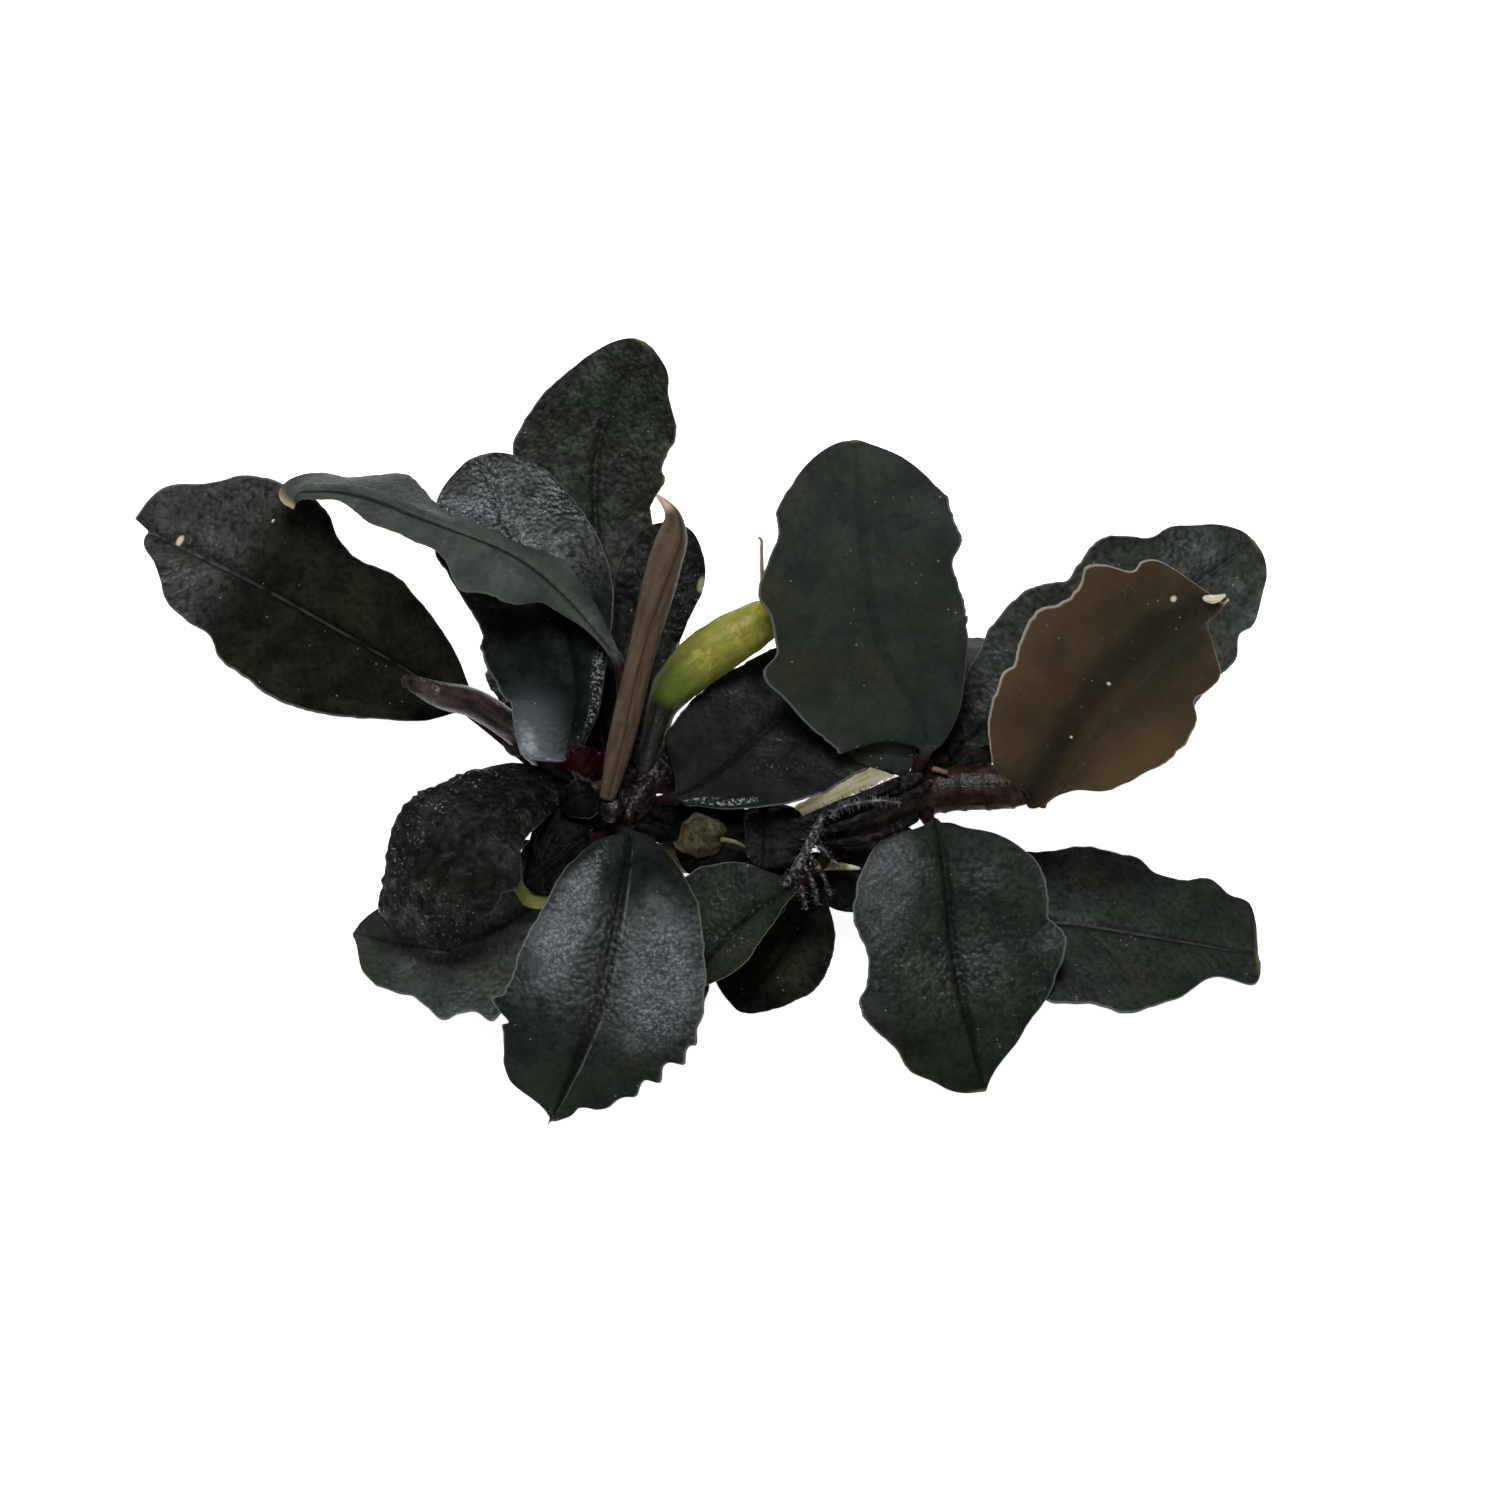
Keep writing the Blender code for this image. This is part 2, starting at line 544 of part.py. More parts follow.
def tube_object(name, points, radii, bevel):
    """Round piece along a smooth curve through the points, closed at both ends."""
    points = np.array(points, float)
    knots = chord_knots(points)
    along = np.linspace(0, 1, TUBE_STEPS * (len(points) - 1) + 1)
    curve = bpy.data.curves.new(name + "_path", "CURVE")
    curve.dimensions = "3D"
    curve.bevel_depth = MM
    curve.bevel_resolution = bevel
    curve.use_fill_caps = True
    spline = curve.splines.new("POLY")
    spline.points.add(len(along) - 1)
    middle = smooth(knots, points, along)
    radius = smooth(knots, radii, along)
    for spot, place, thickness in zip(spline.points, middle, radius):
        spot.co = (*(MM * place), 1)
        spot.radius = thickness
    path = bpy.data.objects.new(name + "_path", curve)
    bpy.context.scene.collection.objects.link(path)
    bpy.context.view_layer.update()
    evaluated = path.evaluated_get(bpy.context.evaluated_depsgraph_get())
    mesh = bpy.data.meshes.new_from_object(evaluated)
    bpy.data.objects.remove(path)
    mesh.name = name
    return bpy.data.objects.new(name, mesh)


def tidy_mesh(obj):
    """Weld the caps, split every face into triangles and turn them outward."""
    shape = bmesh.new()
    shape.from_mesh(obj.data)
    bmesh.ops.remove_doubles(shape, verts=shape.verts, dist=WELD)
    bmesh.ops.triangulate(shape, faces=shape.faces)
    bmesh.ops.recalc_face_normals(shape, faces=shape.faces)
    shape.to_mesh(obj.data)
    shape.free()


def add_node(obj, colour, collection):
    """Put a finished piece in the collection with its own material."""
    tidy_mesh(obj)
    obj.data.transform(Matrix.Translation(Vector(PLANT_MIDDLE) * -MM))
    material = bpy.data.materials.new(obj.name)
    material.use_nodes = True
    shader = material.node_tree.nodes["Principled BSDF"]
    shader.inputs["Base Color"].default_value = (*colour, 1)
    shader.inputs["Roughness"].default_value = 0.4
    obj.data.materials.clear()
    obj.data.materials.append(material)
    collection.objects.link(obj)
    return obj


def stump_bore(cutters):
    """Cutter for the hollow end of the rolled stump."""
    points = np.array(ROLLED_STUMP["points"], float)
    end = points[-1]
    way = unit(end - points[-2])
    ends = (end - way * STUMP_BORE_DEPTH, end + way * STUMP_BORE_OVERRUN)
    cutter = tube_object("stump_bore", ends, (STUMP_BORE_RADIUS, STUMP_BORE_RADIUS), MIDDLE_BEVEL)
    tidy_mesh(cutter)
    cutter.data.transform(Matrix.Translation(Vector(PLANT_MIDDLE) * -MM))
    cutter.hide_render = True
    cutter.display_type = "WIRE"
    cutters.objects.link(cutter)
    return cutter


def main():
    for obj in list(bpy.data.objects):
        bpy.data.objects.remove(obj)
    plant = bpy.data.collections.new("bucephalandra")
    cutters = bpy.data.collections.new("cutters")
    bpy.context.scene.collection.children.link(plant)
    bpy.context.scene.collection.children.link(cutters)

    for name, shoot in SHOOTS.items():
        add_node(tube_object(name, shoot["points"], shoot["radii"], THICK_BEVEL), shoot["colour"], plant)
    for name, leaf in LEAVES.items():
        add_node(loft(name, leaf_rings(leaf)), leaf["colour"], plant)

    single = {
        "rolled_new_leaf": ROLLED_NEW_LEAF,
        "rolled_stump": ROLLED_STUMP,
        "spathe": SPATHE,
        "old_stalk": OLD_STALK,
        "upper_root": UPPER_ROOT,
    }
    for name, piece in single.items():
        add_node(tube_object(name, piece["points"], piece["radii"], MIDDLE_BEVEL), piece["colour"], plant)
    for name, path in ROOT_PATHS.items():
        add_node(tube_object(name, path, (ROOT_RADIUS,) * len(path), THIN_BEVEL), ROOT_PURPLE, plant)

    hollow = bpy.data.objects["rolled_stump"].modifiers.new("hollow_end", "BOOLEAN")
    hollow.operation = "DIFFERENCE"
    hollow.solver = "EXACT"
    hollow.object = stump_bore(cutters)


main()
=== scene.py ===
"""Bucephalandra, a small aquarium plant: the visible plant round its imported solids.

Sizes are in millimetres in the frame the plant was measured in: X along the plant,
Y away from the front leaves, Z up. PLANT_MIDDLE moves that frame so that the middle
of the plant's outline on the floor is the origin.
"""
import json
import math

import bpy
import numpy as np
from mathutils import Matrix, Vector

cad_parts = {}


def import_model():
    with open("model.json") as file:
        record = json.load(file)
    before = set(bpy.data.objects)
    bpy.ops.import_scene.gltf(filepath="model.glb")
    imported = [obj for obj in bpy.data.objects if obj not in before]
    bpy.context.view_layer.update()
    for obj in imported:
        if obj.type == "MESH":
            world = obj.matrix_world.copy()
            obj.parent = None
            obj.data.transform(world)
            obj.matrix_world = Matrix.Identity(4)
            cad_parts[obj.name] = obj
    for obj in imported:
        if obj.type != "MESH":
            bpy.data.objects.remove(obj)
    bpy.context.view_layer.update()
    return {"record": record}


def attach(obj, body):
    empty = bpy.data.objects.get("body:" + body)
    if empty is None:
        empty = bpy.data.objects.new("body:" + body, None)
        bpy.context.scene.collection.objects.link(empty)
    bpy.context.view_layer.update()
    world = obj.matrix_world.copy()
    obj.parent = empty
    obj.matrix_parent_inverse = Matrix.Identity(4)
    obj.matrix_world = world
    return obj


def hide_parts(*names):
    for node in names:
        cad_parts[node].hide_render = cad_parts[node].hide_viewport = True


MM = 0.001
PLANT_MIDDLE = np.array((-0.93, 1.47, 0.03))

# The photograph's view
VIEW_TARGET = np.array((4, 0, 12))
VIEW_DISTANCE = 416.7
VIEW_ELEVATION = math.radians(50)
TOWARDS_VIEW = np.array((0, -math.cos(VIEW_ELEVATION), math.sin(VIEW_ELEVATION)))
LENS = 100
SENSOR = 36

# Leaf blades and their stalks
STALK_RADIUS = 0.62
STALK_FLARE = 0.8
BLADE_THICKNESS = 0.42
RIM_THICKNESS = 0.2
RIM_SHARE = 0.03
EDGE_CROWDING = 0.3
KEEL_DEPTH = 0.45
KEEL_HALF_WIDTH = 0.55
KEEL_FADE = 0.75
BLADE_START = 0.03
TIP_WIDTH = 0.12
LEAST_WIDTH = 0.02
FOLD_POWER = 1.6
FOLD_HALF_WIDTH = 8.0
MIDRIB_HALF_WIDTH = 0.42
GROOVE_FADE = 0.6
SHOULDER_OUT = 1.3
SHOULDER_HALF_WIDTH = 0.8
SHOULDER_SHARE = 0.35
BESIDE_MIDRIB = 0.8
BESIDE_RIM = 0.06
QUILT_PATCH = 5.0
ZONE_SOFTNESS = 0.08
SWELL_SIZE = 2.2
RUFFLES = 9
RUFFLE_HEIGHT = 0.5
MARK_POWER = 4
VEIN_SPACING = 2.6
VEIN_SLOPE = 0.75
VEIN_SHARE = 0.09
VEIN_WANDER = 3.0
JOIN_DEPTH = 0.5
STALK_STEP = 1.0
CURVE_SAMPLES = 400
FRAME_STEP = 0.004

BLADE_RINGS = 160
STALK_RINGS = 14
FINE_COLUMNS = 81
COARSE_COLUMNS = 25

# Noise and quilting of the relief
NOISE_CELLS = 64
NOISE_LAYERS = 3
CREASE_WIDTH = 0.55

# Shoots: points along the middle, the radius at each and the look
LEFT, MIDDLE, RIGHT = "left_shoot", "rhizome", "right_shoot"
SHOOTS = {
    LEFT: (((-8.2, -9, 6.8), (-8.8, -7.6, 10), (-8.9, -6.4, 14.2)), (2.6, 2.5, 1.5), "crown"),
    MIDDLE: (((-5.2, -8.8, 7), (-1, -8, 6.6), (4, -7.6, 6.8), (9.4, -8.3, 7.3)),
             (2.2, 2.6, 2.2, 2.1), "rhizome"),
    RIGHT: (((11, -8.2, 7.5), (14, -7.3, 9), (22, -4.6, 11), (30.5, -5.2, 12.5), (33.6, -5.5, 13)),
            (2, 2.3, 2.2, 2, 1.2), "maroon"),
}
SCAR_SPACING = 2.4
SCAR_HEIGHT = 0.07

# Each leaf: the shoot it grows from, its look, its foot there, points on the rest of the
# stalk, points along the midrib from blade base to tip, and half-widths to the left and
# right of the midrib as (percent of the blade, mm). faces is the way the upper side
# faces. fold is the rise of an edge 8 mm out. wave is (height, waves along the blade,
# start on the right edge). marks are lobes, notches and hooks of the edge, as (side,
# fraction of the blade, extent, mm outwards, ahead and up). quilt, swell, puff, veins and
# groove are the heights of the relief. dome_size is the width of the quilting's domes and
# quilt_zone the part of the blade that has them. tooth is the share by which the teeth
# widen the blade. detail scales the number of rings and columns.
LEAF = dict(stalk=(), faces=((0, -0.2, 1),), fold=0, wave=(0.4, 3, 0.4), quilt=0.012, swell=0.03, puff=0,
            dome_size=0.85, quilt_zone=(-1, 2), veins=0.04, groove=0.3, tooth=0.03, teeth=22, marks=(),
            underside="underside", shows_underside=False, detail=1)
LEAVES = {
    "leaf_far_left": dict(
        shoot=LEFT, look="olive", foot=(-11.6, -5.2, 9.6), stalk=((-16.5, -1, 9.6),),
        midrib=((-23.9, 3.8, 13.2), (-39.2, 11.2, 19), (-57.4, 23.2, 19)),
        left=((3, 0.9), (9, 3.7), (12, 4.5), (28, 7.9), (37, 9.3), (46, 9.8), (52, 9.4), (60, 8.9),
              (66, 7.2), (75, 6.8), (83, 5.8), (87, 4.4), (91, 3.2), (96, 2)),
        right=((5, 2.1), (15, 4.9), (24, 6.5), (34, 7.5), (45, 7.3), (53, 8.3), (60, 10.3), (64, 10.5),
               (74, 10.4), (85, 9.4), (93, 6.2), (98, 3.9)),
        marks=((1, 0.98, 0.07, 0.6, 2.8, 0), (-1, 0.97, 0.03, 0, 0.5, 0)), faces=((-0.1, -0.3, 1),),
        fold=0.8, wave=(0.5, 2.5, 0.3), puff=0.2, dome_size=0.6),
    "leaf_narrow_left": dict(
        shoot=LEFT, look="grey", foot=(-8.8, -3.4, 14.2), stalk=((-8.5, 0.3, 18),),
        midrib=((-9.2, 4.4, 21), (-11.8, 7.4, 22.5), (-18.5, 12.2, 26.5), (-27.7, 15.5, 28.6),
                (-39.6, 19.9, 28.3), (-41.2, 20.1, 27.8), (-41.9, 19.7, 26.2)),
        left=((6, 0.6), (20, 1.5), (24, 2.1), (28, 4.3), (39, 5.1), (47, 5.1), (52, 3.4), (60, 2.7),
              (68, 2), (74, 2.1), (84, 1), (92, 0.4)),
        right=((6, 1.3), (14, 3.5), (24, 4.1), (28, 4.4), (34, 4.1), (42, 3.2), (47, 2.3), (60, 4.7),
               (71, 7.1), (77, 8.2), (82, 6.8), (88, 5.2), (94, 5.4), (97.5, 2.7)),
        faces=((0.2, 0.1, 0.95),), fold=-2.5, wave=(0.5, 4, 0.3), quilt=0, swell=0.04, veins=0.01,
        groove=0.4, tooth=0.05, teeth=34),
    "leaf_glossy_left": dict(
        shoot=LEFT, look="glossy", foot=(-11.5, -6.3, 13.6),
        midrib=((-13.4, -4.3, 15.2), (-12.8, 1.5, 18), (-14.6, 10.3, 20), (-19.8, 19.3, 22),
                (-23.6, 29.3, 24)),
        left=((1, 4), (5, 5.6), (12, 6.8), (28, 8.4), (36, 9), (43, 8.8), (50, 8), (56, 7.8), (68, 7.7),
              (76, 7.8), (84, 6.2), (90, 5.8), (96, 3.5)),
        right=((10, 1.6), (24, 2.6), (40, 4.8), (53, 7), (72, 7.4), (88, 6), (95, 4)),
        faces=((0, -0.3, 1),), wave=(0.3, 3, 0.3), quilt=0.04, swell=0.05, puff=0.3, dome_size=0.6),
    "leaf_top": dict(
        shoot=LEFT, look="top", foot=(-9, -3.4, 10), stalk=((-9, 2, 11.4),),
        midrib=((-9.3, 8, 13.5), (-11.4, 20, 18), (-11.4, 31.5, 24), (-6.8, 39.7, 30)),
        left=((20, 3), (48, 5.4), (60, 7.9), (64, 8.7), (70, 8), (81, 6.1), (93, 3.7)),
        right=((20, 3), (36, 4.8), (45, 5.8), (49, 5.6), (57, 7.2), (63, 6.9), (67, 7.1), (77, 7.5),
               (81, 7.2), (89, 5.2), (96, 3.5), (98.5, 1.9)), faces=((0, -0.3, 1), (0, -0.4, 1)), fold=0.6,
        quilt=0.015, dome_size=0.6),
    "leaf_behind_new_leaf": dict(
        shoot=LEFT, look="flecked", foot=(-8, -4, 12),
        midrib=((-7.2, 0, 12.6), (-5.8, 11.5, 17), (-3.1, 20.6, 23)),
        left=((24, 2.7), (53, 4.1), (71, 4.9), (93, 3.6)),
        right=((26, 2.2), (49, 2.9), (82, 3.9), (94, 2.5)), faces=((0, -0.3, 1), (0, -0.4, 1)), fold=0.3,
        wave=(0.3, 3, 0.4), quilt=0.07, swell=0.05),
    "leaf_large_centre": dict(
        shoot=RIGHT, look="matte", foot=(20.6, -4.3, 13.6),
        midrib=((21.3, -3.2, 15.2), (16.8, 4.9, 23), (15.4, 11.1, 28), (14.5, 22.7, 33)),
        left=((2, 2.6), (6, 7.4), (12, 8.8), (22, 9.4), (28, 10.2), (34, 11.1), (37, 12), (40, 10.2),
              (44, 10), (50, 10.3), (56, 10.9), (62, 10.2), (70, 8.5), (78, 8.3), (86, 6.7), (95, 4.1)),
        right=((5, 2), (12, 4.6), (28, 8.6), (50, 8.7), (57, 8.5), (63, 9.7), (70, 9.2), (74, 9),
               (79, 8.8), (85, 7.3), (93, 4.6), (98.5, 1.2)), faces=((0, -0.6, 0.8),), fold=0.4,
        quilt=0.008, veins=0.01, groove=0.15),
    "leaf_right_back": dict(
        shoot=RIGHT, look="mottled", foot=(24.2, -2.8, 11.8),
        midrib=((25.6, -0.6, 13.4), (37.8, 5, 20), (54.4, 15.4, 26)),
        left=((7, 4.3), (16, 6.6), (26, 8.8), (38, 9.5), (46, 8.6), (50, 7.9), (56, 8.6), (68, 9.2),
              (73, 7.6), (77, 6.5), (82, 6.5), (90, 5), (97, 2.8)),
        right=((15, 3), (36, 7.3), (53, 10.6), (57, 10.2), (66, 9.2), (75, 8.4), (79, 6.9), (84, 6.9),
               (91, 5.1), (96, 3.6)), faces=((0, -0.35, 0.94),), fold=0.4, quilt=0.008),
    "leaf_brown": dict(
        shoot=RIGHT, look="green", underside="bronze", foot=(31.5, -6.6, 14),
        midrib=((31.6, -8.6, 15), (39.8, -4.8, 26), (49.6, -1.2, 36)),
        left=((2, 1.6), (6, 1), (13, 1.4), (17, 2.4), (20, 4.2), (24, 5.5), (33, 7.3), (45, 8.7),
              (52, 8.8), (61, 7.7), (66, 5.9), (71, 6.1), (79, 5.8), (84, 3.4), (88, 1.2), (94, 0.5)),
        right=((3, 2.6), (7, 5.8), (12, 7.3), (21, 9.2), (31, 10.4), (37, 10.9), (42, 10.5), (50, 11.7),
               (57, 12.3), (63, 11.2), (69, 10.9), (76, 12), (81, 11.2), (85, 8.9), (90, 8.6), (94.5, 6.6),
               (97, 1.2)), faces=((0, 0.95, -0.3),), fold=0.3, wave=(0.3, 4, 0.4), quilt=0, swell=0.05,
        veins=0.03, shows_underside=True),
    "leaf_under_centre": dict(
        shoot=LEFT, look="blue_black", foot=(-5.6, -7.4, 12.6),
        midrib=((-3.3, -7.4, 13.6), (7, 1.4, 15), (19.2, 11.6, 14)),
        left=((1, 5.4), (3, 6), (17, 7), (30, 7.5), (50, 7.3), (70, 6.5), (85, 5)),
        right=((2, 1.4), (5, 1.8), (12, 4), (18, 6), (24, 7.8), (31, 9), (47, 9.5), (60, 9.7), (68, 8.9),
               (85, 5.8)), fold=0.4, wave=(0.2, 3, 0.4), groove=0.25),
    "leaf_hidden_back": dict(
        shoot=RIGHT, look="black_in_shade", foot=(22.4, -1.8, 9.6),
        midrib=((24, 3, 10), (27, 16, 7), (27.5, 25.3, 0.25)), left=((20, 2.8), (50, 5), (80, 4)),
        right=((20, 2.4), (50, 3.6), (80, 3)), faces=((0, 0.1, 1),), wave=(0.2, 3, 0.4), quilt=0.02,
        detail=0.5),
    "leaf_hidden_left": dict(
        shoot=LEFT, look="black_in_shade", foot=(-9.2, -4, 7.4), stalk=((-11.5, -1, 7.6),),
        midrib=((-15, 4, 8.4), (-19, 13, 6), (-22, 22, 0.25)), left=((20, 2.4), (50, 3.2), (80, 2.8)),
        right=((20, 2.4), (50, 3.4), (80, 2.8)), faces=((0, 0.1, 1),), wave=(0.2, 3, 0.4), quilt=0.02,
        detail=0.5),
    "leaf_old_pitted": dict(
        shoot=LEFT, look="pitted", foot=(-11.6, -8.4, 10.4),
        midrib=((-14.8, -7.2, 12.4), (-23.2, -13.5, 14.5), (-26.7, -17.4, 11), (-26.6, -20.1, 5)),
        left=((14, 2.6), (36, 4.4), (47, 7), (55, 6), (67, 6.1), (87, 4.1)),
        right=((2, 3.2), (6, 5.2), (12, 6.4), (17, 6.6), (21, 6.8), (33, 7.2), (41, 8.4), (58, 7.8),
               (72, 6.7), (80, 6.3), (86, 6.3), (90, 5.1), (94, 4.2)),
        faces=((0, 0, 1), (-0.2, -0.3, 1), (-0.4, -0.6, 0.6)), fold=-1, quilt=0.09, swell=0.14,
        dome_size=1, tooth=0.055, teeth=30),
    "leaf_low_left": dict(
        shoot=LEFT, look="low", foot=(-11, -9.3, 8.6),
        midrib=((-13.3, -12, 8), (-18, -16, 6), (-24, -17.8, 3.6), (-35.7, -14.2, 0.4)),
        left=((15, 4), (31, 9.6), (43, 9.5), (46, 10.3), (49, 8.8), (53, 9), (56, 9.7), (60, 8), (66, 6.1),
              (71, 5.9), (78, 5.8), (85, 4.5), (96, 1.1)),
        right=((15, 3), (33, 5.6), (60, 6), (80, 5.4), (93, 4.4)), faces=((0, 0, 1),), fold=0.3,
        wave=(0.3, 4, 0.4), quilt=0.02, swell=0.04),
    "leaf_large_front": dict(
        shoot=LEFT, look="wet", foot=(-8.6, -10.2, 12),
        midrib=((-7.9, -12, 13.6), (-8.6, -19.4, 12.5), (-10.5, -28.1, 8), (-15.1, -36.9, 0.3)),
        left=((4, 1.9), (12, 5.1), (21, 7.2), (34, 8.6), (47, 9.6), (58, 10.2), (66, 9.3), (75, 6.8),
              (81, 6.2), (86, 4.4), (92, 3.2), (96, 1.6)),
        right=((17, 5.5), (31, 7.2), (42, 8.2), (56, 8.9), (68, 9), (74, 9), (80, 7.8), (86, 7.2), (92, 6),
               (95, 4.5), (97, 1)),
        marks=((-1, 0.615, 0.014, 0.5, 0.5, 0), (-1, 0.67, 0.016, 0.9, 0.6, 0),
               (-1, 0.735, 0.018, 1.1, 0.7, 0), (-1, 0.8, 0.022, 0.2, 0.5, 0),
               (-1, 0.87, 0.026, 0.4, 0.4, 0), (-1, 0.935, 0.018, -0.6, -0.8, 0),
               (1, 0.7, 0.024, 0.8, -0.2, 0.9), (1, 0.755, 0.018, -1.3, 0, 0.2),
               (1, 0.985, 0.012, 0.3, 1, 0)), faces=((0, -0.2, 1), (0, -0.35, 1)), fold=0.4,
        wave=(0.4, 4, 0.4), quilt=0.055, swell=0.04, puff=0.5, dome_size=0.75, quilt_zone=(0.12, 0.75)),
    "leaf_grey_front": dict(
        shoot=RIGHT, look="soft_green", foot=(11.8, -10.6, 9.2),
        midrib=((8.4, -16.4, 11), (4, -18.9, 9), (-1.9, -24.1, 5)),
        left=((10, 1), (43, 2.6), (70, 2.8), (90, 1.6)),
        right=((10, 3), (24, 5.4), (46, 7.8), (76, 6.6), (90, 4)), wave=(0.2, 3, 0.4), puff=0.2),
    "leaf_dark_front": dict(
        shoot=RIGHT, look="black_in_shade", foot=(10.8, -10.2, 7),
        midrib=((10.1, -13.4, 7.4), (7.9, -18.2, 4.2), (2.5, -23.4, 0.3)),
        left=((10, 2.2), (31, 4.2), (51, 5), (75, 3.9), (90, 2.3)),
        right=((24, 3.5), (60, 6.2), (85, 5.8), (95, 4.2)), faces=((0, 0, 1),), wave=(0.2, 3, 0.4),
        quilt=0.01),
    "leaf_front_right": dict(
        shoot=RIGHT, look="green", foot=(21.6, -7.6, 10.6),
        midrib=((22.2, -9.6, 12), (24, -22.1, 6.5), (26.8, -33.4, 0.3)),
        left=((4, 1.6), (7, 2.8), (10, 5.2), (16, 7.8), (20, 8.9), (30, 9.7), (42, 9.9), (47, 10.8),
              (65, 9.5), (75, 7.4), (79, 6), (85, 4.4), (92, 2)),
        right=((6, 5.9), (14, 7.6), (21, 8.6), (30, 9.3), (36, 9.4), (42, 8.8), (50, 8.5), (56, 9.1),
               (61, 10.1), (73, 8.8), (78, 7.6), (88, 6.6), (93, 4.7), (97, 3.4)), faces=((0, -0.25, 1),),
        fold=0.6, wave=(0.4, 4, 0.4), quilt=0.014, swell=0.04, puff=0.4, dome_size=0.65),
    "leaf_low_right": dict(
        shoot=RIGHT, look="dull", foot=(14.2, -10, 7),
        midrib=((15, -12.6, 7), (22.7, -13.8, 4.4), (38.5, -16, 3.6), (54.6, -17.1, 0.4)),
        left=((10, 4), (30, 6.6), (38, 8.2), (45, 8.7), (54, 9.7), (64, 9.7), (70, 9.6), (73, 8.5),
              (81, 7.6), (88, 8.7), (93, 7.1), (96, 6.8), (98.5, 5.9)),
        right=((12, 3.8), (35, 8.1), (47, 9.3), (50, 10.2), (54, 9.9), (61, 9.5), (66, 10.2), (73, 9),
               (80, 7), (86, 4.3), (95, 3.6)), marks=((1, 0.98, 0.03, 1, 0.4, 0),), faces=((0, 0, 1),),
        fold=0.3, wave=(0.3, 4, 0.4), swell=0.04, puff=0.2, veins=0.06),
    "leaf_small_middle": dict(
        shoot=MIDDLE, look="green_scale", foot=(5, -9.1, 8.9),
        midrib=((5, -10.9, 9.4), (5.2, -14.2, 8.6), (5, -17.8, 6.8)), left=((30, 2.4), (70, 2.6)),
        right=((30, 2), (70, 2)), wave=(0.1, 3, 0.4), quilt=0.03, swell=0.04),
    "leaf_inner_front": dict(
        shoot=LEFT, look="deep_shade", foot=(-10.4, -9.8, 10.6),
        midrib=((-12, -10.8, 11.4), (-14.8, -12.8, 10.6), (-18, -15, 9)), left=((5, 2), (20, 3), (60, 3)),
        right=((5, 3.6), (20, 5.4), (50, 4), (80, 2)), wave=(0.1, 3, 0.4), quilt=0.03, swell=0.04),
}
